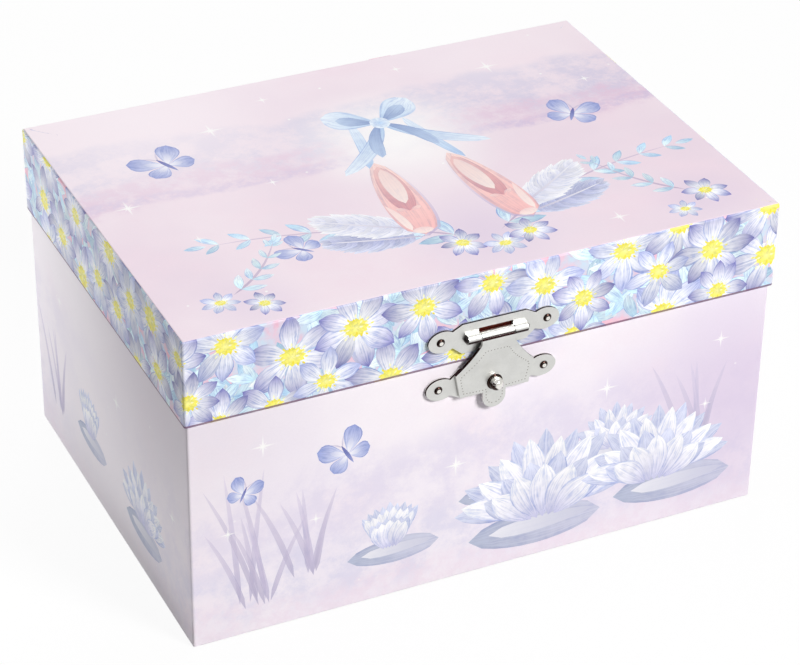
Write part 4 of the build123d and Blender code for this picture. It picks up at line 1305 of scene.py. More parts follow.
    def spray(self, length: float, bend: float, pairs: int, ink: Ink, leaf: float) -> Motif:
        """A bent stem along +Y with pairs of leaves.

        Args:
            length: The stem's length.
            bend: How far it bends aside.
            pairs: How many pairs it has.
            ink: The leaves' ink.
            leaf: The leaves' length.

        Returns:
            The spray.
        """
        stem = Stroke((0, 0), UP, length, 0.7, Ink.STEM, bend, 0.3, 0.4, steps=8)
        dabs: list[Dab] = [stem]
        for number in range(pairs):
            run = (number + 0.6) / pairs
            at = stem.point(run, 0)
            lean = UP + math.atan(2 * bend * run)
            for side in (-1, 1):
                size = leaf * (1.1 - 0.5 * run) * self.luck.uniform(0.9, 1.1)
                tone = self.luck.random()
                dabs.append(Stroke(at, lean + side * 0.85, size, size * 0.36, ink, -side * 0.15, 0.5, 0.8, tone))
        dabs.append(Stroke(stem.point(1, 0), UP + math.atan(2 * bend), leaf * 0.6, leaf * 0.22, ink))
        return Motif(dabs)

    def slipper(self) -> Motif:
        """A ballet slipper from above, its toe down at the origin and its heel up.

        Returns:
            The slipper.
        """
        return Motif(
            [
                Stroke((0.6, -0.8), UP, 37, 10.6, Ink.SHADOW, 0.02, 0.36, 0.55, steps=12),
                Stroke((0, 0), UP, 36, 10.4, Ink.SATIN_SHOE, 0.02, 0.36, 0.5, 0.5, 14),
                Stroke((0, 11.5), UP, 22.5, 6.9, Ink.SHOE_INSIDE, 0.03, 0.42, 0.5, 0.3, 12),
                Stroke((0.2, 15.0), UP, 17.5, 4.6, Ink.SHOE_LIGHT, 0.03, 0.5, 0.55, 0.3, 10),
                Stroke((-2.4, 2.4), UP + 0.1, 13, 2.2, Ink.SHOE_LIGHT, 0.1, 0.4, 0.7, 0.6, 8),
                Stroke((0, 0.5), UP, 3.0, 5.0, Ink.SHOE_LIGHT, 0.0, 0.5, 0.5, 0.5, 8),
                Stroke((0.1, 11.3), UP + 0.95, 3.6, 1.5, Ink.SATIN_SHOE, 0.1, 0.6),
                Stroke((0.1, 11.3), UP - 0.95, 3.6, 1.5, Ink.SATIN_SHOE, -0.1, 0.6),
            ]
        )

    def bow(self, size: float) -> Motif:
        """A satin bow with two long curling tails.

        Args:
            size: The loops' length, about.

        Returns:
            The bow.
        """
        rows = (
            (-UP, 0.5, 2.1, 0.34, Ink.RIBBON, 0.3, 0.6, 0.35, 0.6, 12),
            (-UP, 0.8, 1.3, 0.3, Ink.RIBBON_FOLD, -0.35, 0.7, 0.4, 0.4, 10),
            (UP, -1.05, 1.15, 0.72, Ink.RIBBON, 0.1, 0.66, 0.6, 0.7, 12),
            (UP, -1.1, 0.86, 0.34, Ink.RIBBON_FOLD, 0.1, 0.7, 0.6, 0.3, 10),
        )
        dabs: list[Dab] = [
            Stroke((0, 0), way + side * lean, length * size, wide * size, ink, side * bend, *rest)
            for side in (-1, 1)
            for way, lean, length, wide, ink, bend, *rest in rows
        ]
        dabs.append(Blot((0, 0), 0.2 * size, Ink.RIBBON, 0, 0, 1.1, 0.8, 12))
        return Motif(dabs)

    def lily(self, size: float, opened: float = 1.0) -> Motif:
        """A water lily from the side: four rows of fanned petals round its stamens.

        Args:
            size: The outer petals' length.
            opened: How far it is open, 1 for wide open.

        Returns:
            The lily.
        """
        dabs: list[Dab] = []
        rows = (
            (9, 1.0, 0.26, Ink.LILY_SHADE), (8, 0.92, 0.29, Ink.LILY),
            (6, 0.74, 0.3, Ink.LILY_SHADE), (5, 0.66, 0.33, Ink.LILY),
        )
        for row, (count, reach, wide, ink) in enumerate(rows):
            for number in range(count):
                share = 2 * (number + 0.5) / count - 1
                lean = share * (1.45 - 0.16 * row) * opened
                length = size * reach * (1 - 0.16 * abs(share)) * self.luck.uniform(0.95, 1.05)
                at = (share * 0.16 * size, 0.04 * size * (3 - row))
                tone = self.luck.uniform(0.3, 0.8)
                bend = -0.12 * share
                dabs.append(Stroke(at, UP - lean, length, wide * size, ink, bend, 0.55, 0.75, tone, 8))
        for number in range(7):
            at = (size * 0.05 * (number - 3), size * (0.2 + 0.02 * (number % 2)))
            stamen = Stroke(at, UP - 0.1 * (number - 3), 0.3 * size, 0.05 * size, Ink.STAMEN)
            dabs.insert(17 + number, stamen)
        return Motif(dabs)

    def pad(self, wide: float) -> Motif:
        """A floating lily pad with light on its middle.

        Args:
            wide: Its width.

        Returns:
            The pad.
        """
        half = wide / 2
        return Motif(
            [
                Stroke((-half, 0), 0.0, wide, wide * 0.3, Ink.PAD, 0.0, 0.52, 0.5, 0.4, 10),
                Stroke((-half * 0.7, 0.3), 0.0, wide * 0.8, wide * 0.12, Ink.RIPPLE, 0.02, 0.4, 0.6, 0.7, 8),
            ]
        )

    def reeds(self, height: float, count: int) -> Motif:
        """A clump of bending reeds.

        Args:
            height: The tallest reed's height.
            count: How many there are.

        Returns:
            The clump.
        """
        dabs: list[Dab] = []
        for number in range(count):
            lean = self.luck.uniform(-0.35, 0.35)
            at = (self.luck.uniform(-0.12, 0.12) * height, self.luck.uniform(-1, 1))
            length = height * self.luck.uniform(0.6, 1.0)
            tone = self.luck.random()
            dabs.append(Stroke(at, UP + lean, length, 1.5, Ink.REED, lean * 0.5, 0.3, 0.5, tone, 8))
        return Motif(dabs)

    def butterfly(self, size: float) -> Motif:
        """A butterfly with spread wings.

        Args:
            size: The upper wings' length.

        Returns:
            The butterfly.
        """
        dabs: list[Dab] = []
        for side in (-1, 1):
            for turn, reach, wide in ((0.72, 1.0, 0.62), (-0.5, 0.72, 0.56)):
                heading = turn if side > 0 else math.pi - turn
                long, wide, bend = size * reach, size * wide, side * 0.1
                dabs.append(Stroke((0, 0), heading, long, wide, Ink.WING, bend, 0.68, 0.6, 0.6, 9))
                dabs.append(Stroke((0, 0), heading, long * 0.6, wide * 0.3, Ink.RIPPLE, bend, 0.6))
            feeler = (UP - side * 0.4, 0.45 * size, 0.05 * size, Ink.REED, -side * 0.2)
            dabs.append(Stroke((0, 0.3 * size), *feeler))
        dabs.append(Stroke((0, -0.4 * size), UP, 0.8 * size, 0.12 * size, Ink.BUD))
        return Motif(dabs)

    def star(self, size: float) -> Motif:
        """A sparkle of four long rays and four short ones.

        Args:
            size: The long rays' length.

        Returns:
            The sparkle.
        """
        dabs: list[Dab] = [
            Stroke((0, 0), (number + first) * UP, size * reach, size * wide, Ink.STAR, 0, belly, 0.7, steps=steps)
            for first, reach, wide, belly, steps in ((0.5, 0.45, 0.12, 0.2, 4), (0, 1, 0.14, 0.15, 5))
            for number in range(4)
        ]
        dabs.append(Blot((0, 0), size * 0.14, Ink.STAR, corners=8))
        return Motif(dabs)


# ---- Papers ---------------------------------------------------------------------------------------
@dataclass
class WrapPath:
    """The way a paper runs round the four sides of a box, anticlockwise from its seam on the back."""

    half_x: float
    half_y: float
    corner: float = 0.6
    seam: float = 24.0
    lap: float = 6.0
    lift: float = 0.19

    @property
    def bend(self) -> float:
        """The length of the paper round one corner."""
        return math.pi / 2 * self.corner

    @property
    def starts(self) -> list[float]:
        """Where each straight run starts: back, left, front, right and back again.

        Returns:
            The five distances, the first of them 0.
        """
        x, y = self.half_x - self.corner, self.half_y - self.corner
        runs = [x + self.seam, 2 * y, 2 * x, 2 * y]
        starts = [0.0]
        for run in runs:
            starts.append(starts[-1] + run + self.bend)
        return starts

    @property
    def length(self) -> float:
        """Once round the box."""
        return self.starts[-1] + self.half_x - self.corner - self.seam

    def folds(self) -> list[float]:
        """Where the paper needs an edge, four to a corner.

        Returns:
            The distances, in rising order.
        """
        marks = []
        for start in self.starts[1:]:
            marks += [start - self.bend * share / 4 for share in range(5)]
        return [*marks, self.length - 0.6, self.length]

    def front(self, x: float) -> float:
        """How far round a place on the front is."""
        return self.starts[2] + x + self.half_x - self.corner

    def left(self, y: float) -> float:
        """How far round a place on the left side is."""
        return self.starts[1] + self.half_y - self.corner - y

    def right(self, y: float) -> float:
        """How far round a place on the right side is."""
        return self.starts[3] + y + self.half_y - self.corner

    def back(self, x: float) -> float:
        """How far round a place on the back is."""
        return self.starts[4] + self.half_x - self.corner - x if x > self.seam else self.seam - x

    def lifted(self, along: float) -> float:
        """How far the paper stands off the box, which it does where it laps over its own start."""
        return self.lift * smooth((along - self.length + 0.6) / 0.6)

    def at(self, along: float, inset: float) -> Point:
        """The place on the box at a distance round it and a depth inside its face.

        Args:
            along: The distance round it.
            inset: The depth.

        Returns:
            Its x and y.
        """
        x, y = self.half_x - self.corner, self.half_y - self.corner
        along = along % self.length if along > self.length else along
        sides = (
            (self.seam, y, -1, 0, x + self.seam), (-x, y, 0, -1, 2 * y), (-x, -y, 1, 0, 2 * x),
            (x, -y, 0, 1, 2 * y), (x, y, -1, 0, x - self.seam),
        )
        index = max(i for i, start in enumerate(self.starts) if along >= start - 1e-9)
        px, py, dx, dy, straight = sides[index]
        run = along - self.starts[index]
        turn = min(max(run - straight, 0.0) / self.corner, UP)
        run, reach = min(run, straight), self.corner - inset
        c, s = math.cos(turn), math.sin(turn)
        px += dx * run + reach * (dy * c + dx * s)
        py += dy * run + reach * (dy * s - dx * c)
        far_x, far_y = self.half_x - inset, self.half_y - inset
        return (min(max(px, -far_x), far_x), min(max(py, -far_y), far_y))


@dataclass
class WrapPaper:
    """A printed paper that is wrapped round a box's sides and turned in at its edges."""

    path: WrapPath
    profile: tuple[Point, ...]
    thick: float = 0.2
    cap: float = 200.0

    def heights(self) -> list[float]:
        """How far up the paper each bend of its profile is.

        Returns:
            The heights, from 0.
        """
        marks = [0.0]
        for (d0, z0), (d1, z1) in zip(self.profile, self.profile[1:]):
            marks.append(marks[-1] + math.hypot(d1 - d0, z1 - z0))
        return marks

    def up(self, z: float) -> float:
        """How far up the paper a height on the outer face is.

        Args:
            z: The height on the box.

        Returns:
            The height on the flat paper.
        """
        marks = self.heights()
        faces = [i for i, (d, _) in enumerate(self.profile) if d == 0]
        return marks[faces[0]] + z - self.profile[faces[0]][1]

    def fold(self, along: float, up: float) -> Point3:
        """Turns a point of the flat paper into a place on the box.

        Args:
            along: The distance along the paper.
            up: The height up it.

        Returns:
            The place.
        """
        marks = self.heights()
        index = max(i for i in range(len(marks) - 1) if up >= marks[i] - 1e-9)
        share = min(max((up - marks[index]) / (marks[index + 1] - marks[index]), 0.0), 1.0)
        (d0, z0), (d1, z1) = self.profile[index], self.profile[index + 1]
        run = math.hypot(d1 - d0, z1 - z0)
        lift = self.path.lifted(along) / run
        x, y = self.path.at(along, d0 + (d1 - d0) * share - lift * (z1 - z0))
        return (x, y, min(max(z0 + (z1 - z0) * share + lift * (d1 - d0), 0.0), self.cap))

    def build(
        self, dabs: Sequence[Dab], holes: Sequence[Dab], finish: Finish, body: str, node: str, name: str
    ) -> Object:
        """Prints, folds and hangs the paper.

        Args:
            dabs: The printed shapes, in the flat paper's millimetres.
            holes: Shapes that are cut out of it.
            finish: The paper's finish.
            body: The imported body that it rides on.
            node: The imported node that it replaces.
            name: The piece's name.

        Returns:
            The piece.
        """
        marks = self.heights()
        end = self.path.length + self.path.lap
        printer = Printer((0.0, 0.0), (end, marks[-1]), self.path.folds(), marks[1:-1])
        mesh = printer.print(dabs, holes, self.fold, name)
        obj = place(mesh, finish, body, node)
        return thicken(obj, self.thick)


# ---- The box's papers -----------------------------------------------------------------------------
def lay(rows: Iterable[tuple]) -> list[Dab]:
    """The dabs of a whole paper in painting order, from rows of a motif, its x and y, and any turn, size and flip."""
    return [dab for motif, x, y, *rest in rows for dab in motif.put((x, y), *rest)]


@dataclass
class PaperWork:
    """All of the paper outside: the lid's top sheet and band, and the wrap and base of the case."""

    lid: WrapPath = field(default_factory=lambda: WrapPath(76.0, 54.0))
    case: WrapPath = field(default_factory=lambda: WrapPath(75.3, 53.3, seam=-24.0))
    top_z: float = 85.0
    rim_z: float = 62.3
    case_top: float = 61.9
    sheet_inset: float = 0.38
    sheet_thick: float = 0.11
    sheet_trim: float = 0.16
    sheet_droop: float = 0.05
    band_roll: float = 0.42
    key_hole: Blot = Blot((0.0, 15.5), 4.4, Ink.STAR, corners=28)
    book: MotifBook = field(default_factory=lambda: MotifBook(23))

    PINK = linear(245, 196, 214)
    BLUSH = linear(244, 230, 239)
    LILAC = linear(236, 219, 232)
    ROSE = linear(242, 222, 234)
    PEARL = linear(250, 240, 247)
    MIST = linear(248, 242, 248)
    DUSK = linear(204, 200, 226)
    ROCK = linear(226, 200, 222)
    SHADE = linear(212, 196, 224)

    def band_finish(self) -> Printed:
        """The lid band's wash, which shows only between the flowers."""
        blue, pink = linear(206, 226, 244), linear(236, 170, 196)
        return Printed("BandPrint", "band_print", self.PINK, blue, pink, wash_scale=0.09)

    def top_finish(self) -> Printed:
        """The lid top's wash: soft hills across its rear and a plain of pale lilac before them.

        Returns:
            The finish.
        """
        hills = (
            Hill(36.0, 17.0, 0.016, self.DUSK, 2.5, 30.0, 0.85, 4.0),
            Hill(17.0, 9.0, 0.032, self.ROCK, 1.6, 15.0, 0.95, 31.0),
            Hill(9.0, 6.0, 0.06, self.SHADE, 1.0, 5.0, 0.8, 52.0),
        )
        halos = (
            Halo((6.0, -37.0, self.top_z), 27.0, self.SHADE, 0.5),
            Halo((-55.0, -45.0, self.top_z), 18.0, self.SHADE, 0.35),
            Halo((60.0, -44.0, self.top_z), 18.0, self.SHADE, 0.35),
            Halo((-48.0, 44.0, self.top_z), 62.0, self.PEARL, 0.8),
            Halo((44.0, 50.0, self.top_z), 46.0, self.PEARL, 0.6),
            Halo((6.0, 12.0, self.top_z), 33.0, WHITE, 0.92),
        )
        return Printed("TopPrint", "lid_print", self.BLUSH, self.LILAC, self.ROSE, 1, 0.012, hills, halos, 0.8)

    def case_finish(self) -> Printed:
        """The case's wash: mist over far hills and still water, with painted light and shade on the left side.

        Returns:
            The finish.
        """
        hills = (
            Hill(42.0, 15.0, 0.013, linear(226, 219, 238), 6.0, 30.0, 0.8, 8.0),
            Hill(21.0, 10.0, 0.022, linear(212, 210, 234), 4.0, 22.0, 0.6, 19.0),
            Hill(9.0, 6.0, 0.03, linear(238, 222, 236), 3.0, 20.0, 0.6, 44.0),
        )
        halos = (
            Halo((68.0, -self.case.half_y, 34.0), 52.0, linear(214, 198, 224), 0.7),
            Halo((self.case.half_x, 0.0, 30.0), 60.0, linear(226, 212, 232), 0.5),
            # Painted light and shade on the left side: paler towards its lower back, greyer towards its front top.
            Halo((-self.case.half_x, 6.0, 20.0), 76.0, self.MIST, 0.95),
            Halo((-self.case.half_x, -30.0, 66.0), 58.0, linear(222, 214, 224), 0.75),
        )
        cool, warm = linear(242, 235, 246), linear(246, 234, 243)
        return Printed("CasePrint", "case_print", self.MIST, cool, warm, 2, 0.014, hills, halos, 0.5)

    def top_dabs(self) -> list[Dab]:
        """The lid top's picture: a pair of slippers hung from a bow, with sprays, butterflies and stars.

        Returns:
            The dabs in painting order.
        """
        book = self.book
        shoe, bow = book.slipper(), book.bow(13)
        laurel, plume = book.spray(58, 0.34, 9, Ink.BLUE_LEAF, 9), book.feather(30, 9)
        plume_shaded, wing = book.feather(26, 8, True), book.butterfly(9)
        star, small = book.star(4.2), book.star(2.4)
        flower, pale = Motif(book.flower(6.2, 7, False)), Motif(book.flower(5.6, 7, True))
        tie = Motif([Stroke((0, 0), UP, 25, 3.0, Ink.RIBBON, 0.12, 0.5, 0.4, 0.7, 12)])
        left, right = book.spray(24, 0.3, 5, Ink.ICE_LEAF, 6), book.spray(26, 0.3, 5, Ink.ICE_LEAF, 6)
        return lay(
            (
                (laurel, 2, -38, 52), (laurel, 10, -38, -52, 1, True),
                (plume_shaded, -6, -34, 78), (plume, -4, -32, 62), (plume_shaded, 18, -34, -78, 1, True),
                (plume, 16, -32, -60, 1, True), (tie, -6, 0, -18), (tie, 18, -3, 20, 1, True),
                (shoe, -7, -33, -6), (shoe, 20, -35, 10, 1, True), (bow, 6, 21, 4),
                (flower, -1, -40), (pale, 8, -44, 30), (flower, 16, -41, 60),
                (wing, -50, 22, 24, 1.1), (wing, 52, 6, -32), (wing, -36, -28, 48, 0.8),
                (pale, -62, -42, 10, 0.9), (flower, -53, -46, 20, 0.8), (left, -58, -40, -60),
                (flower, 63, -41, 40), (pale, 54, -47, 0, 0.8), (right, 59, -39, 50, 1, True),
                (star, -34, 34), (star, 44, 38), (small, -16, 44), (small, 64, 22), (star, -66, 6),
                (small, 34, -18), (small, -30, 4), (small, 22, 46), (small, -56, -14), (star, 38, -44, 0, 0.8),
            )
        )

    def case_dabs(self, paper: "WrapPaper") -> list[Dab]:
        """The case's picture: water lilies before the right of the front, reeds and sparkles round the rest.

        Args:
            paper: The wrap that carries it.

        Returns:
            The dabs in painting order.
        """
        book, path = self.book, self.case
        lily, lily_far, bud = book.lily(24), book.lily(15), book.lily(12, 0.35)
        pad, reed, thin = book.pad(30), book.reeds(44, 9), book.reeds(30, 6)
        star, wing = book.star(3.6), book.butterfly(8)

        sides = {
            path.front: (
                (thin, 58, 20), (reed, -60, 8, 0, 0.9), (thin, -46, 12), (pad, 34, 25, 0, 0.7),
                (lily_far, 35, 26, 0, 0.8), (pad, 2, 22, 0, 0.6), (pad, 52, 11, 0, 1.1), (pad, 14, 9, 0, 1.2),
                (lily, 16, 11), (lily, 47, 13, 0, 0.86, True), (pad, -24, 13, 0, 0.8), (bud, -25, 14),
                (wing, -36, 44, 30), (wing, -62, 40, -24, 0.7), (star, -57, 52), (star, -8, 33), (star, 32, 44),
                (star, 63, 50, 0, 0.8), (star, -66, 30, 0, 0.7), (star, 60, 32, 0, 0.6), (star, -44, 28, 0, 0.6),
            ),
            path.left: (
                (thin, 38, 10), (pad, 14, 16, 0, 0.7), (bud, 15, 17), (pad, -22, 12, 0, 0.8), (lily_far, -22, 14),
                (star, -6, 40), (star, 34, 46, 0, 0.7), (star, -42, 30, 0, 0.8),
            ),
            path.right: (
                (reed, 30, 8, 0, 0.8), (pad, -18, 12, 0, 0.9), (lily_far, -18, 14, 0, 1.1), (wing, 10, 42, 20),
                (star, -34, 46), (star, 40, 38, 0, 0.7),
            ),
            path.back: (
                (reed, -58, 8, 0, 0.8), (pad, 44, 12), (lily, 44, 14, 0, 0.8), (star, 26, 44), (star, -28, 36),
                (thin, 62, 8), (star, -4, 48, 0, 0.7),
            ),
        }
        return lay((motif, way(x), paper.up(z), *rest) for way, row in sides.items() for motif, x, z, *rest in row)

    def build_top(self) -> Object:
        """The flat printed sheet on the lid, with its cut edges.

        Returns:
            The sheet.
        """
        half_x, half_y = self.lid.half_x - self.sheet_inset, self.lid.half_y - self.sheet_inset
        folds = [(self.sheet_trim - half, half - self.sheet_trim) for half in (half_x, half_y)]
        printer = Printer((-half_x, -half_y), (half_x, half_y), *folds)

        def shape(x: float, y: float) -> Point3:
            """Lays a point flat, a little lower at the cut edge."""
            edge = max(abs(x) - half_x, abs(y) - half_y) > -0.01
            return (x, y, self.top_z - (self.sheet_droop if edge else 0.0))

        mesh = printer.print(self.top_dabs(), (), shape, "lid_top_sheet")
        sheet = place(mesh, self.top_finish(), "lid", "lid_top_paper")
        return thicken(sheet, self.sheet_thick)

    def build_band(self) -> Object:
        """The flowered band round the lid's sides, turned in at its lower edge and under the top sheet.

        Returns:
            The band.
        """
        roll, rim, top = self.band_roll, self.rim_z, self.top_z - 0.12
        bend = [(roll + roll * math.cos(a), top - roll + roll * math.sin(a)) for a in np.linspace(math.pi, UP, 5)]
        profile = (
            (3.47, rim + 1.5), (3.47, rim + 0.3), (3.2, rim), (0.3, rim), (0.08, rim + 0.08), (0.0, rim + 0.3),
            *bend, (7.0, self.top_z - 0.16),
        )
        paper = WrapPaper(self.lid, profile, cap=top)
        low, high = paper.up(rim + 0.3), paper.heights()[-2]
        dabs = self.book.band(self.lid.length, low - 1.5, high + 1.0)
        return paper.build(dabs, (), self.band_finish(), "lid", "lid_band_paper", "lid_band")

    def build_case(self) -> Object:
        """The wrap round the case, turned in over the rim and under the base, with a hole for the key.

        Returns:
            The wrap.
        """
        top = self.case_top
        profile = (
            (8.0, 0.16), (0.4, 0.1), (0.1, 0.18), (0.0, 0.4), (0.0, top - 0.3), (0.08, top - 0.08), (0.3, top),
            (3.2, top), (3.42, top - 0.1), (3.47, top - 0.4), (3.47, top - 1.5),
        )
        paper = WrapPaper(self.case, profile)
        x, z = self.key_hole.at
        hole = Blot((self.case.back(x), paper.up(z)), self.key_hole.radius, Ink.STAR, corners=self.key_hole.corners)
        return paper.build(self.case_dabs(paper), (hole,), self.case_finish(), "case", "case_wrap_paper", "case_wrap")

    def build_base(self) -> Object:
        """The plain sheet under the case, a little short of its edges.

        Returns:
            The sheet.
        """
        half_x, half_y, thick = self.case.half_x - 3.5, self.case.half_y - 3.5, 0.15
        work = bmesh.new()
        bmesh.ops.create_grid(work, x_segments=60, y_segments=44, size=1.0)
        luck = random.Random(5)
        for vert in work.verts:
            x, y = vert.co.x * half_x, vert.co.y * half_y
            inside = abs(vert.co.x) < 0.9 and abs(vert.co.y) < 0.9
            vert.co = Vector((x, y, 0.16 - 0.032 * luck.random() * inside)) * MM
        bmesh.ops.reverse_faces(work, faces=work.faces)
        paper = PlainPaper("BasePaper", "plain_paper", linear(226, 220, 214))
        return thicken(place(finished(work, "base_sheet", False), paper, "case", "base_paper"), thick)

    def build(self) -> None:
        """Builds every paper."""
        self.build_band()
        self.build_top()
        self.build_case()
        self.build_base()


# ---- The finishes in use --------------------------------------------------------------------------
# The cut colours are the dark reddish colour of painted shade and dark reflection on marked faces.
NICKEL = Metal("Nickel", "nickel", linear(216, 216, 213), 0.34, 0.1, 0.006, cut=linear(44, 24, 26))
HINGE_PLATE = Metal("HingePlate", "nickel", linear(186, 186, 180), 0.3, 0.12, 0.004)
BRIGHT_NICKEL = Metal("BrightNickel", "nickel", linear(236, 234, 228), 0.1, 0.06, 0.002)
CHROME = Metal("Chrome", "nickel", linear(240, 238, 232), 0.05, 0.02, cut=linear(52, 38, 34), specks=0.04)
PUNCHED = Metal("PunchedNickel", "nickel", linear(150, 146, 140), 0.4, 0.1, 0.004)
STEEL = Metal("Steel", "steel", linear(196, 198, 202), 0.3, 0.14, 0.004, 1.2, (1.0, 1.0, 0.2))
SPRING_STEEL = Metal("SpringSteel", "steel", linear(120, 124, 140), 0.28, 0.1, 0.003)
BRASS = Metal("Brass", "brass", linear(222, 186, 112), 0.26, 0.12, 0.004)
CAST = Metal("CastPlate", "cast_plate", linear(168, 168, 172), 0.5, 0.16, 0.03, 2.2)
GILT = Metal("Gilt", "bezel", linear(236, 200, 128), 0.22, 0.1, 0.003, 0.8, (0.15, 0.15, 1.0))
NYLON = Plastic("Nylon", "fly_plastic", linear(236, 232, 220), 0.4)
# A dark colour for the strip that stands in for the shade in the latch's slot: painted shade.
SLOT_SHADE = Metal("SlotShadeSteel", "nickel", linear(110, 52, 44), 0.4, 0.1, 0.01)
# A dark steel that stands in for the shade at the ends of the latch's barrel: painted shade.
PIN_SHADE_STEEL = Metal("PinShadeSteel", "nickel", linear(58, 52, 52), 0.24, 0.1, 0.004)
RAW_BOARD = Board("RawBoard", "board", linear(170, 150, 128))
ROSE_VELVET = Velvet("RoseVelvet", "velvet", linear(236, 176, 204))
PINK_SATIN = Satin("PinkSatin", "satin", linear(246, 208, 222))
RIBBON_SATIN = Satin("RibbonSatin", "satin", linear(248, 214, 228), (0.0, 0.7, 0.7))
MIRROR = Glass("Mirror", "mirror")


# ---- Fittings and boards --------------------------------------------------------------------------
@dataclass
class Fittings:
    """The pressed nickel outside: latch, hinges, nails and key."""

    edge: float = 0.2
    wire_edge: float = 0.12
    nail_edge: float = 0.08
    # How far round the nail heads' domes the painted dark reflection reaches.
    nail_shade_rim: float = 0.965
    knob: Point3 = (0.6, -56.05, 55.4)
    knob_radius: float = 1.68
    # The way that the knob's painted dark reflection faces.
    knob_shaded_side: Point3 = (-0.75, 0.0, -0.65)
    pin: Point3 = (0.6, -55.35, 68.9)
    collar: Point = (2.02, 0.26)
    face_y: float = -55.15
    lid_edge: float = 62.3
    # Half width, half height, y and middle height of the painted shade strip behind the slot.
    pad: tuple[float, ...] = (5.6, 2.0, -54.06, 70.0)
    pip: tuple[Point, ...] = ((0.17, -0.02), (0.13, 0.02), (0.06, 0.035))
    pip_pitch: float = 0.82
    pip_row: tuple[Point, ...] = (
        (0, 2.7), (2.9, 2.7), (3.6, 1.6), (4.5, 0.3), (5.8, -1.2), (7.4, -2.6), (8.9, -3.9), (8.5, -6.2),
        (8.0, -8.3), (5.5, -8.5), (2.1, -8.6), (2.1, -10.9), (1.5, -12.2), (0, -12.9),
    )
    # Where each latch plate's edges, knuckle undersides and crease take painted shade and dark reflection.
    plate_shades: tuple[tuple[str, PlateShade], ...] = (
        ("latch_upper_plate", PlateShade(-54.92, -54.4, left=0.6, under=-55.3)),
        ("latch_lower_plate", PlateShade(-54.22, -53.7, left=0.6)),
        ("latch_hasp", PlateShade(-57.0, -54.3, 66.6, 0.05, under=-56.4, crease=(68.2, 69.1))),
    )

    def build_knob(self) -> None:
        """Turns the ball that is riveted in the hasp, with the collar at its foot; the collar and the ball's lower
        left take painted shade and dark reflection.
        """
        reach, tall = self.collar
        foot = self.knob[1] - self.face_y
        brim = foot + tall
        ball = [(self.knob_radius * math.cos(t), self.knob_radius * math.sin(t)) for t in np.linspace(UP, -UP, 30)]
        rim = [(reach - 0.16, brim), (reach - 0.04, brim - 0.05), (reach, brim - 0.15), (reach, foot - 0.3)]
        profile = [*((r, h) for r, h in ball if h > brim), *rim]
        mesh = lathe("latch_knob", profile, 48, self.knob, (1, 0, 0))
        shaded_side = Vector(self.knob_shaded_side).normalized()
        # Painted shade: the collar all dark, and a dark reflection on the side facing lower left.
        dark = [
            float(face.center.y / MM > self.face_y - tall - 0.02) or smooth((face.normal.dot(shaded_side) - 0.3) / 0.2)
            for face in mesh.polygons
        ]
        darken(mesh, dark)
        place(mesh, CHROME, "hasp", "latch_ball")

    def build_pin(self) -> None:
        """Turns the pin, headed at both ends, that the hasp hangs on; its dark steel is painted shade for the dark
        ends of the barrel.
        """
        half = [(0.1, 8.38), (0.4, 8.3), (0.72, 8.05), (0.88, 7.8), (0.85, 7.72), (0.57, 7.72)]
        profile = [*half, *((r, -h) for r, h in reversed(half))]
        place(lathe("latch_hinge_pin", profile, 32, self.pin, (0, 1, 0)), PIN_SHADE_STEEL, "lid", "latch_pin")

    def build_slot_shade(self) -> None:
        """Cuts a dark strip behind the slot over the knuckles, a sheet where there is only shade: painted shade seen
        through the slot.
        """
        work = bmesh.new()
        bmesh.ops.create_grid(work, x_segments=24, y_segments=6, size=1.0)
        half_x, half_z, y, middle_z = self.pad
        for vert in work.verts:
            x, z = self.pin[0] + half_x * vert.co.x, middle_z + half_z * vert.co.y
            vert.co = Vector((x, y - 0.03 * math.sin(3 * x) * math.sin(2 * z), z)) * MM
        thicken(place(finished(work, "latch_slot_shade", False), SLOT_SHADE, "lid"), 0.06)

    def hasp_face(self, x: float, rise: float) -> Point3:
        """A place on the hasp's face, from its middle and the lid's lower edge."""
        slope = 1.4 / 7.5 * max(rise + 2.8, 0.0)
        return (self.knob[0] + x, self.face_y - slope, self.lid_edge + rise)

    def build_pips(self) -> None:
        """Punches the row of small marks that runs inside the hasp's edge."""
        border = np.array(self.pip_row)
        run = np.concatenate([[0.0], np.cumsum(np.hypot(*np.diff(border, axis=0).T))])
        work = bmesh.new()
        for away in np.arange(0.0, run[-1], self.pip_pitch):
            x, rise = np.interp(away, run, border[:, 0]), np.interp(away, run, border[:, 1])
            for side in (-1, 1) if x > 0.2 else (1,):
                spot = Vector(self.hasp_face(side * x, rise))
                rings = [
                    ring(work, spot - Vector((0, out, 0)), Vector((r, 0, 0)), Vector((0, 0, r)), 8)
                    for r, out in self.pip
                ]
                bridge(work, rings)
                work.faces.new(rings[-1][::-1])
                work.faces.new(rings[0])
        bmesh.ops.scale(work, vec=(MM, MM, MM), verts=work.verts)
        place(finished(work, "hasp_pips"), PUNCHED, "hasp")

    def build(self) -> None:
        """Rounds and plates every fitting."""
        for node, plate_shade in self.plate_shades:
            softened(node, NICKEL, self.edge, plate_shade=plate_shade)
        self.build_pips()
        for side in ("left", "right"):
            softened(f"{side}_hinge_lid_leaf", HINGE_PLATE, self.wire_edge)
            softened(f"{side}_hinge_case_leaf", HINGE_PLATE, self.wire_edge)
        for node in ("hinge_pins", "winding_key"):
            softened(node, BRIGHT_NICKEL, self.wire_edge)
        self.build_pin()
        self.build_knob()
        self.build_slot_shade()
        for node in ("case_nails", "lid_nails"):
            nails = softened(node, CHROME, self.nail_edge)
            # Painted dark reflection round each nail head's dome, leaving its middle bright.
            darken(nails.data, [smooth((self.nail_shade_rim - abs(face.normal.y)) / 0.08) for face in nails.data.polygons])


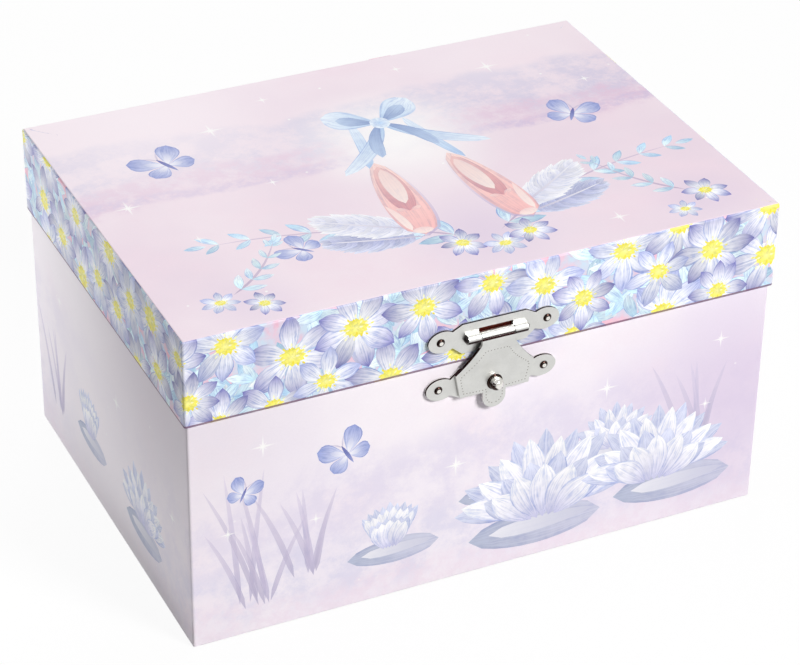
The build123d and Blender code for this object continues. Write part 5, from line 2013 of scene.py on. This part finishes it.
@dataclass
class Boards:
    """The boards, the linings and the mirror; pieces that show an edge have it rounded."""

    bezel_edge: float = 0.4
    pile_edge: float = 0.5

    def build(self) -> None:
        """Dresses the boards and linings, and rounds the walls that show and the mirror's frame."""
        for side in ("back", "front", "left", "right"):
            dress(f"case_{side}_board lid_{side}_board", RAW_BOARD)
        dress("case_floor_board lid_top_board stage_deck", RAW_BOARD)
        for node in ("partition_board", "tray_divider", "ring_shelf"):
            softened(node, ROSE_VELVET, self.pile_edge)
        softened("lid_press_block", PINK_SATIN, self.pile_edge)
        dress("tray_lining stage_lining", ROSE_VELVET)
        dress("lid_lining", PINK_SATIN)
        dress("lid_mirror", MIRROR)
        softened("mirror_bezel", GILT, self.bezel_edge, steps=4)


@dataclass
class Movement:
    """The wind-up movement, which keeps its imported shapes."""

    finishes: tuple[tuple[Finish, str], ...] = (
        (CAST, "movement_bedplate"),
        (STEEL, "bedplate_screws comb_screws cylinder_bearings governor_bracket spindle_bracket spring_barrel"),
        (STEEL, "music_comb winding_arbor cylinder_arbor dancer_spindle dancer_spring stop_rod"),
        (SPRING_STEEL, "mainspring"),
        (BRASS, "music_cylinder cylinder_pinion spindle_pinion"),
        (NYLON, "governor_wheel governor_fly"),
    )

    def build(self) -> None:
        """Dresses each part of the movement."""
        for finish, nodes in self.finishes:
            dress(nodes, finish)


# ---- Soft pieces ----------------------------------------------------------------------------------
@dataclass
class RingCushion:
    """Five stuffed velvet rolls side by side on the shelf, with slots between them for rings."""

    left: float = 17.6
    right: float = 70.9
    front: float = -48.9
    back: float = 19.85
    low: float = 24.0
    high: float = 38.0
    rolls: int = 5
    along: int = 56
    around: int = 40
    sewn_gap: float = 0.15
    drawn_in: float = 5.0
    squarish: Point = (0.55, 0.62)
    held_foot: float = 1.6
    blow: float = 1.5
    upscale: float = 10.0
    frames: int = 26
    seed: int = 7
    gap: float = 0.12
    dent: float = 0.22

    def roll(self, number: int) -> Mesh:
        """One sewn roll before it is stuffed: a sleeve with drawn-in ends.

        Args:
            number: Which roll, from the front.

        Returns:
            Its mesh, in scaled-up metres for the cloth solver.
        """
        pitch = (self.back - self.front) / self.rolls
        middle = self.front + pitch * (number + 0.5)
        half, tall = pitch / 2 - self.sewn_gap, self.high - self.low
        work = bmesh.new()
        rows = []
        for i in range(self.along + 1):
            share = i / self.along
            end = min(share, 1 - share) * (self.right - self.left)
            drawn = math.sqrt(1 - (1 - min(end / self.drawn_in, 1.0)) ** 2) * 0.5 + 0.5
            x = self.left + share * (self.right - self.left)
            row = []
            for turn in rounds(self.around):
                c, s = math.cos(turn), math.sin(turn)
                y = middle + 0.94 * half * drawn * math.copysign(abs(c) ** self.squarish[0], c)
                z = self.low + tall * 0.48 + 0.46 * tall * drawn * math.copysign(abs(s) ** self.squarish[1], s)
                row.append(work.verts.new(Vector((x, y, z)) * MM * self.upscale))
            rows.append(row)
        bridge(work, rows)
        for row, order in ((rows[0], 1), (rows[-1], -1)):
            centre = work.verts.new(sum((v.co for v in row), Vector()) / len(row))
            for near, far in zip(row, [*row[1:], row[0]]):
                work.faces.new((centre, far, near) if order > 0 else (centre, near, far))
        return finished(work, f"ring_cushion_{number + 1}")

    def stuff(self, obj: Object) -> None:
        """Blows the roll up as cloth, held along its foot, and keeps the result.

        Args:
            obj: The roll.
        """
        held = obj.vertex_groups.new(name="held")
        floor = (self.low + self.held_foot) * MM * self.upscale
        held.add([v.index for v in obj.data.vertices if v.co.z < floor], 1.0, "REPLACE")
        cloth = obj.modifiers.new("stuffing", "CLOTH")
        cloth.settings.vertex_group_mass, cloth.settings.quality = "held", 6
        cloth.settings.use_pressure, cloth.settings.uniform_pressure_force = True, self.blow
        cloth.settings.shrink_min, cloth.settings.bending_stiffness = -0.02, 2.0
        cloth.settings.tension_stiffness = cloth.settings.compression_stiffness = 15
        cloth.settings.effector_weights.gravity = 0.0
        scene, cache = bpy.context.scene, cloth.point_cache
        scene.frame_start = cache.frame_start = 1
        scene.frame_end = cache.frame_end = self.frames
        for number in range(1, self.frames + 1):
            scene.frame_set(number)
        settle(obj)
        scene.frame_set(1)

    def fit(self, mesh: Mesh, number: int) -> None:
        """Brings a stuffed roll back to size, inside its own room on the shelf.

        Args:
            mesh: The stuffed roll.
            number: Which roll, from the front.
        """
        pitch = (self.back - self.front) / self.rolls
        luck = random.Random(self.seed + number)
        shift = luck.uniform(0, 50)
        low = Vector((self.left, self.front + pitch * number + self.gap, self.low))
        high = Vector((self.right, self.front + pitch * (number + 1) - self.gap, self.high))
        co = points_of(mesh) / self.upscale / MM
        now_low, now_high = co.min(0), co.max(0)
        co = np.array(low) + (co - now_low) * (np.array(high - low) / (now_high - now_low))
        rise = np.clip((co[:, 2] - self.low) / 6, 0, 1)
        waves = np.sin(0.55 * co[:, 0] + shift) * np.sin(0.21 * co[:, 0] + 2 * shift)
        co[:, 2] -= rise * self.dent * (1 + waves)
        move_points(mesh, co)

    def build(self) -> None:
        """Sews, stuffs and lays the rolls."""
        for number in range(self.rolls):
            mesh = self.roll(number)
            obj = stand(mesh.name, mesh)
            self.stuff(obj)
            mesh, name = obj.data, obj.name
            bpy.data.objects.remove(obj)
            self.fit(mesh, number)
            cushion = place(mesh, ROSE_VELVET, "case", *(("ring_roll",) if number == 0 else ()), name=name)


@dataclass
class Ribbon:
    """The satin stay, built doubled back towards the hinge as it lies with the lid shut, from the straight, taut run
    that it takes with the lid open.
    """

    low: Point = (14.0, 52.0)
    high: Point = (14.0, 73.0)
    hinge: Point = (55.15, 62.1)
    open_deg: float = 100.0
    still: tuple[float, float] = (55.0, 70.0)
    x: float = 71.42
    thick: float = 0.28
    width: float = 7.0
    tab_share: float = 0.45
    steps: int = 96
    across: int = 8

    def shut(self, y: float, z: float) -> Point:
        """Where a point of the taut ribbon lies while the lid is shut.

        Args:
            y: The point's y.
            z: Its z.

        Returns:
            Its y and z while shut.
        """
        dy, dz = y - self.hinge[0], z - self.hinge[1]
        reach, turn = math.hypot(dy, dz), math.atan2(dz, dy)
        whole = math.radians(self.open_deg)
        low, high = 0.0, 1.0
        for _ in range(40):
            middle = (low + high) / 2
            height = self.hinge[1] + reach * math.sin(turn + middle * whole)
            weight = smooth((height - self.still[0]) / (self.still[1] - self.still[0]))
            low, high = (middle, high) if middle < weight else (low, middle)
        turn += low * whole
        return (self.hinge[0] + reach * math.cos(turn), self.hinge[1] + reach * math.sin(turn))

    def build(self) -> None:
        """Weaves the ribbon and hangs it between case and lid."""
        whole = math.radians(self.open_deg)
        dy, dz = self.high[0] - self.hinge[0], self.high[1] - self.hinge[1]
        end = (
            self.hinge[0] + dy * math.cos(whole) + dz * math.sin(whole),
            self.hinge[1] - dy * math.sin(whole) + dz * math.cos(whole),
        )
        run = (end[0] - self.low[0], end[1] - self.low[1])
        length = math.hypot(*run)
        side = (-run[1] / length, run[0] / length)
        work = bmesh.new()
        rows = []
        tab = self.width * self.tab_share
        for number in range(self.steps + 1):
            share = (number / self.steps) * (length + 2 * tab) / length - tab / length
            asides = [self.width * (j / self.across - 0.5) for j in range(self.across + 1)]
            flat = [[self.low[i] + run[i] * share + side[i] * aside for i in (0, 1)] for aside in asides]
            rows.append([work.verts.new(Vector((self.x, *self.shut(y, z))) * MM) for y, z in flat])
        bridge(work, rows[::-1], closed=False)
        mesh = finished(work, "ribbon_stay")
        if mesh.polygons[0].normal.x < 0:
            mesh.flip_normals()
        obj = stand(mesh.name, mesh)
        mesh.materials.append(RIBBON_SATIN.material())
        thicken(obj, self.thick)
        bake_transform(obj)
        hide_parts("lid_ribbon")
        LOG.info("%s bends between case and lid", obj.name)


# ---- Dancer ---------------------------------------------------------------------------------------
@dataclass(frozen=True)
class Limb:
    """A rounded, tapering part of the figure.

    Each station is x, y, z, half width and half depth, as shares of the figure's height.
    """

    stations: tuple[tuple[float, ...], ...]
    paint: Colour
    around: int
    steps: int


SKIN = linear(248, 206, 182)
SHOE = linear(244, 168, 180)
BODICE = linear(190, 214, 240)
HAIR = linear(112, 76, 56)
STAND = linear(238, 236, 232)


@dataclass
class Dancer:
    """The moulded figure on its spring, and the stiff net skirt."""

    axis_y: float = 33.15
    foot_z: float = 47.9
    height: float = 29.52
    waist: float = 0.555
    skirt: float = 10.3
    gather: float = 1.35
    spread: float = 0.34
    fullness: float = 2.35
    step_in: float = 0.25
    ruffle: float = 0.32
    sway: float = 0.035
    voxel: float = 0.16
    layers: int = 4

    def limbs(self) -> list[Limb]:
        """The figure's parts, in the textbook proportions of a dancer on one pointed foot.

        Returns:
            The limbs, from the stand up.
        """
        rows = (
            (STAND, 28, 1, (0, 0, 0.0, 0.074, 0.074), (0, 0, 0.026, 0.07, 0.07)),
            (
                SHOE, 20, 6, (0, 0, 0.02, 0.012, 0.012), (0, 0.001, 0.05, 0.016, 0.018),
                (0, 0.002, 0.085, 0.017, 0.02), (0.001, 0.003, 0.11, 0.015, 0.016),
            ),
            (
                SKIN, 20, 6, (0.001, 0.003, 0.1, 0.014, 0.016), (0.002, 0.004, 0.14, 0.015, 0.017),
                (0.004, 0.006, 0.2, 0.022, 0.024), (0.006, 0.001, 0.27, 0.021, 0.022),
                (0.008, -0.001, 0.3, 0.024, 0.026), (0.012, 0, 0.4, 0.034, 0.036), (0.018, 0, 0.5, 0.038, 0.04),
            ),
            (
                SKIN, 20, 6, (0.02, 0, 0.5, 0.038, 0.04), (0.075, -0.022, 0.44, 0.033, 0.034),
                (0.13, -0.044, 0.378, 0.024, 0.026), (0.15, -0.05, 0.36, 0.02, 0.02),
            ),
            (
                SKIN, 20, 6, (0.15, -0.05, 0.36, 0.021, 0.021), (0.11, -0.043, 0.33, 0.022, 0.023),
                (0.075, -0.034, 0.295, 0.015, 0.016),
            ),
            (
                SHOE, 20, 6, (0.078, -0.035, 0.298, 0.014, 0.015), (0.05, -0.028, 0.272, 0.016, 0.014),
                (0.024, -0.024, 0.246, 0.007, 0.007),
            ),
            (
                BODICE, 20, 6, (0, 0.002, 0.5, 0.05, 0.042), (0, 0.002, 0.54, 0.046, 0.04),
                (0, 0, 0.575, 0.038, 0.03),
            ),
            (
                BODICE, 24, 6, (0, 0, 0.55, 0.042, 0.032), (0, 0, 0.6, 0.037, 0.027),
                (0, -0.002, 0.65, 0.046, 0.036), (0, -0.003, 0.69, 0.054, 0.038), (0, -0.001, 0.712, 0.05, 0.03),
            ),
            (
                SKIN, 24, 6, (0, 0, 0.68, 0.052, 0.03), (0, 0.001, 0.72, 0.056, 0.027),
                (0, 0.001, 0.745, 0.046, 0.022), (0, 0.001, 0.76, 0.022, 0.018),
            ),
            (
                SKIN, 20, 6, (0, 0.001, 0.745, 0.018, 0.018), (0, 0, 0.775, 0.0155, 0.016),
                (0, -0.002, 0.8, 0.016, 0.017),
            ),
            (
                SKIN, 24, 6, (0, -0.007, 0.788, 0.012, 0.014), (0, -0.005, 0.8, 0.024, 0.027),
                (0, -0.001, 0.825, 0.032, 0.036), (0, 0.002, 0.85, 0.031, 0.036), (0, 0.003, 0.866, 0.018, 0.022),
            ),
            (SKIN, 10, 2, (0, -0.041, 0.817, 0.004, 0.004), (0, -0.036, 0.829, 0.003, 0.004)),
            (
                HAIR, 24, 6, (0, 0.012, 0.806, 0.02, 0.022), (0, 0.011, 0.83, 0.0345, 0.032),
                (0, 0.008, 0.852, 0.034, 0.037), (0, 0.004, 0.87, 0.023, 0.027),
            ),
            (
                HAIR, 20, 6, (0, 0.03, 0.846, 0.016, 0.014), (0, 0.033, 0.862, 0.022, 0.02),
                (0, 0.033, 0.878, 0.015, 0.013),
            ),
        )
        arm = (
            (0.05, 0, 0.735, 0.017, 0.017), (0.075, -0.004, 0.76, 0.016, 0.016),
            (0.108, -0.01, 0.795, 0.013, 0.013), (0.119, -0.014, 0.84, 0.012, 0.012),
            (0.108, -0.02, 0.89, 0.011, 0.011), (0.084, -0.024, 0.93, 0.0085, 0.0085),
            (0.066, -0.026, 0.95, 0.009, 0.006), (0.045, -0.029, 0.966, 0.008, 0.005),
            (0.024, -0.03, 0.976, 0.0045, 0.0045),
        )
        parts = [Limb(tuple(stations), paint, around, steps) for paint, around, steps, *stations in rows]
        return parts + [Limb(tuple((side * x, *rest) for x, *rest in arm), SKIN, 14, 4) for side in (-1, 1)]

    def spline(self, limb: Limb) -> np.ndarray:
        """A limb's stations with smooth ones in between, in millimetres about the figure's foot.

        Args:
            limb: The limb.

        Returns:
            The stations, one to a row.
        """
        marks = np.array(limb.stations, dtype=float) * self.height
        padded = np.vstack([2 * marks[0] - marks[1], marks, 2 * marks[-1] - marks[-2]])
        rows = []
        for a, b, c, d in zip(padded, padded[1:], padded[2:], padded[3:]):
            for t in np.linspace(0, 1, limb.steps, endpoint=False):
                square, cube = 2 * a - 5 * b + 4 * c - d, 3 * b - a - 3 * c + d
                rows.append(0.5 * (2 * b + (c - a) * t + square * t**2 + cube * t**3))
        return np.vstack([rows, marks[-1]])

    def skin(self, work: Work, limb: Limb) -> None:
        """Adds one closed limb with rounded ends.

        Args:
            work: The mesh at work.
            limb: The limb.
        """
        rows = self.spline(limb)
        ways = np.gradient(rows[:, :3], axis=0)
        ends = (0.02, 0.5, 0.86)
        stations = [(rows[0], ways[0], -math.sqrt(1 - e * e), e) for e in ends]
        stations += [(row, way, 0.0, 1.0) for row, way in zip(rows, ways)]
        stations += [(rows[-1], ways[-1], math.sqrt(1 - e * e), e) for e in reversed(ends)]
        rings = []
        for row, way, past, share in stations:
            ahead = Vector(way).normalized()
            deep = Vector((0, 1, 0)) - ahead * ahead.y
            deep.normalize()
            wide = deep.cross(ahead)
            middle = Vector(row[:3]) + ahead * past * min(row[3], row[4])
            rings.append(ring(work, middle, wide * row[3] * share, deep * row[4] * share, limb.around))
        bridge(work, rings)
        work.faces.new(rings[0][::-1])
        work.faces.new(rings[-1])

    def shades(self, points: np.ndarray, limbs: Sequence[Limb]) -> np.ndarray:
        """Paints the figure: each point takes the paint of the limb that it belongs to, and the head its face.

        Args:
            points: The figure's points, in millimetres about its foot.
            limbs: The figure's limbs.

        Returns:
            A colour for each point.
        """
        best = np.full(len(points), np.inf)
        colours = np.ones((len(points), 4))
        for limb in limbs:
            rows = self.spline(limb)
            for row in rows:
                away = np.linalg.norm(points - row[:3], axis=1) / ((row[3] + row[4]) / 2)
                nearer = away < best
                best[nearer] = away[nearer]
                colours[nearer, :3] = limb.paint
        h = self.height
        marks = [
            ((0.0, -0.036, 0.8055), (0.0075, 0.02, 0.0022), linear(206, 96, 104)),
            *(((s * 0.0125, -0.034, 0.8275), (0.0056, 0.02, 0.0016), linear(84, 62, 60)) for s in (-1, 1)),
            *(((s * 0.0135, -0.034, 0.8375), (0.0068, 0.02, 0.0012), linear(150, 112, 92)) for s in (-1, 1)),
            *(((s * 0.0185, -0.03, 0.8145), (0.0075, 0.02, 0.0055), linear(246, 178, 166)) for s in (-1, 1)),
        ]
        front = points[:, 1] < -0.012 * h
        for centre, reach, colour in marks:
            away = np.linalg.norm((points / h - centre) / reach, axis=1)
            share = (np.clip(1.25 - away, 0, 1) * front)[:, None]
            colours[:, :3] = colours[:, :3] * (1 - share) + np.array(colour) * share
        return colours

    def build_figure(self) -> None:
        """Casts the figure in one piece and paints it."""
        limbs = self.limbs()
        work = bmesh.new()
        for limb in limbs:
            self.skin(work, limb)
        obj = stand("dancer_cast", finished(work, "dancer_cast", False))
        cast = obj.modifiers.new("cast", "REMESH")
        cast.mode, cast.voxel_size = "VOXEL", self.voxel
        ease = obj.modifiers.new("ease", "SMOOTH")
        ease.factor, ease.iterations = 0.5, 3
        settle(obj)
        mesh = obj.data
        bpy.data.objects.remove(obj)
        points = points_of(mesh).astype(float)
        colours = self.shades(points, limbs)
        painted = mesh.attributes.new("paint", "FLOAT_COLOR", "POINT")
        painted.data.foreach_set("color", colours.astype(np.float32).ravel())
        move_points(mesh, points + (0, self.axis_y, self.foot_z))
        paint = Plastic("DollPaint", "doll", SKIN, 0.38, True)
        place(mesh, paint, "dancer", "dancer_figure", name="dancer_doll")

    def build_skirt(self) -> None:
        """Gathers the layers of net at the waist."""
        waist = self.foot_z + self.height * self.waist
        net = Net("SkirtNet", "net", linear(214, 232, 250))
        around, rings, gather = 260, 16, self.gather
        for layer in range(self.layers):
            luck = random.Random(40 + layer)
            folds, phase = 19 + 2 * layer, luck.uniform(0, 6)
            rise = self.spread * (self.layers - 1 - layer) - 0.5
            points = []
            for i in range(rings + 1):
                share = i / rings
                reach = gather + (self.skirt - self.step_in * layer - gather) * share
                for turn in rounds(around):
                    ruffle = math.sin(folds * turn + phase) + 0.35 * math.sin(7 * turn + phase)
                    z = waist + rise * (1 - 0.4 * share) + self.ruffle * share**1.3 * ruffle
                    swing = turn + self.sway * share * math.cos(folds * turn + phase)
                    points.append(Vector((reach * math.cos(swing), self.axis_y + reach * math.sin(swing), z)) * MM)
            faces = []
            for start in range(0, rings * around, around):
                for j in range(around):
                    k = (j + 1) % around
                    faces.append((start + j, start + around + j, start + around + k, start + k))
            mesh = bpy.data.meshes.new(f"skirt_layer_{layer + 1}")
            mesh.from_pydata(points, [], faces)
            shade_smooth(mesh)
            piece = place(mesh, net, "dancer", *(("dancer_tutu",) if layer == 0 else ()))

    def build(self) -> None:
        """Builds the figure and her skirt."""
        self.build_figure()
        self.build_skirt()


# ---- Studio ---------------------------------------------------------------------------------------
@dataclass(frozen=True)
class Lamp:
    """A soft box: where it hangs, what it faces, its size in metres and its strength in watts."""

    name: str
    at: Point3
    size: Point
    watts: float
    colour: Colour = WHITE
    aim: Point3 = (0.0, 0.0, 0.04)


@dataclass(frozen=True)
class Card:
    """A dark card that only polished metal sees, by two opposite corners in metres."""

    name: str
    low: Point3
    high: Point3


@dataclass
class Studio:
    """The white sweep, the soft boxes, the dark cards and the camera."""

    camera_at: Point3 = (-0.25658, -0.54231, 0.41564)
    azimuth: float = -25.52451384
    elevation: float = 32.2434602
    roll: float = 0.85145456
    lens: float = 127.36
    world: float = 0.08
    far: float = 6.0
    dark: tuple[Colour, Colour] = ((0.03, 0.02, 0.025), (0.05, 0.035, 0.04))
    air: Colour = (1.0, 0.99, 0.985)
    sweep: tuple[Point, Point] = ((0.48, 0.54), (0.92, 0.96))
    glow: float = 0.92
    lamps: tuple[Lamp, ...] = (
        Lamp("key", (0.5, -1.05, 0.85), (0.36, 0.36), 18.6, (1.0, 0.985, 0.97)),
        Lamp("top", (-0.1, 0.35, 1.3), (1.2, 0.9), 6.5),
        Lamp("rear", (0.25, 1.1, 0.35), (0.5, 0.4), 3.0),
        Lamp("left", (-0.17, 0.125, 0.045), (0.05, 0.06), 0.1, aim=(-0.075, 0.02, 0.03)),
        Lamp("bounce", (-0.11, -0.03, 0.004), (0.05, 0.08), 0.004, aim=(-0.11, -0.03, 1.0)),
    )
    cards: tuple[Card, ...] = (
        Card("card_left", (-0.34, -0.42, 0.002), (-0.075, -0.078, 0.002)),
        Card("card_wall", (-0.55, -0.9, 0.02), (-0.55, 0.2, 0.38)),
        Card("card_back", (-0.5, 0.5, 0.15), (0.9, 0.5, 0.9)),
    )

    def build_camera(self) -> None:
        """Sets the camera that shows the box three-quarters from the front left and above."""
        data = bpy.data.cameras.new("camera")
        data.lens, data.sensor_width, data.clip_start = self.lens, 36.0, 0.01
        camera = stand("camera", data)
        a, e = math.radians(self.azimuth), math.radians(self.elevation)
        back = Vector((math.sin(a) * math.cos(e), -math.cos(a) * math.cos(e), math.sin(e)))
        turn = back.to_track_quat("Z", "Y").to_matrix() @ Matrix.Rotation(math.radians(self.roll), 3, "Z")
        camera.matrix_world = Matrix.Translation(self.camera_at) @ turn.to_4x4()
        bpy.context.scene.camera = camera

    def build_lamps(self) -> None:
        """Hangs the soft boxes."""
        for lamp in self.lamps:
            data = bpy.data.lights.new(lamp.name, "AREA")
            data.shape, (data.size, data.size_y) = "RECTANGLE", lamp.size
            data.energy, data.color = lamp.watts, lamp.colour
            light = stand(lamp.name, data)
            light.location, light.visible_camera = lamp.at, False
            light.rotation_euler = (Vector(lamp.at) - Vector(lamp.aim)).to_track_quat("Z", "Y").to_euler()

    def build_cards(self) -> None:
        """Stands the dark cards round the box."""
        for card in self.cards:
            (x0, y0, z0), (x1, y1, z1) = card.low, card.high
            corners = [(x0, y0, z0), (x1, y0, z0), (x1, y1, z1), (x0, y1, z1)]
            if z0 != z1:
                corners = [(x0, y0, z0), (x1, y1, z0), (x1, y1, z1), (x0, y0, z1)]
            obj = quad(card.name, corners)
            g = Graph.of_material(card.name)
            g.shade(Base_Color=g.mix(g.noise(0.02), *self.dark), Roughness=0.9)
            obj.data.materials.append(g.owner)
            obj.visible_camera = obj.visible_diffuse = obj.visible_shadow = obj.visible_transmission = False

    def build_world(self) -> None:
        """Lights the room, and shows it white wherever nothing stands."""
        world = bpy.data.worlds.new("room")
        g = Graph(world, "Background", "World Output")
        g.shade(Color=self.air, Strength=self.world)
        g.mix_shader(g.shown(), g.add("ShaderNodeBackground").outputs[0])
        bpy.context.scene.world = world

    def build_floor(self) -> None:
        """Lays the sweep that the box stands on."""
        far = self.far
        floor = quad("floor", [(-far, -far, 0), (far, -far, 0), (far, far, 0), (-far, far, 0)])
        g = Graph.of_material("Sweep")
        fibre, shown = g.noise(0.05, 4.0), g.shown()
        dim, light = (g.mix(fibre, (low,) * 3, (high,) * 3) for low, high in self.sweep)
        g.shade(Base_Color=g.mix(shown, dim, light), Roughness=0.7)
        glow = g.add("ShaderNodeEmission", {"Color": WHITE, "Strength": 1.0})
        g.mix_shader(g.times(shown, self.glow), glow.outputs[0])
        floor.data.materials.append(g.owner)

    def build(self) -> None:
        """Builds the studio."""
        self.build_camera()
        self.build_lamps()
        self.build_cards()
        self.build_world()
        self.build_floor()
        bpy.context.scene.view_settings.view_transform = "Standard"


def main() -> None:
    """Builds the box's looks and the studio."""
    logging.basicConfig(level=logging.INFO, format="%(name)s: %(message)s")
    for part in (PaperWork(), Fittings(), Boards(), Movement(), RingCushion(), Ribbon(), Dancer(), Studio()):
        LOG.info("building %s", type(part).__name__)
        part.build()


if __name__ == "__main__":
    main()
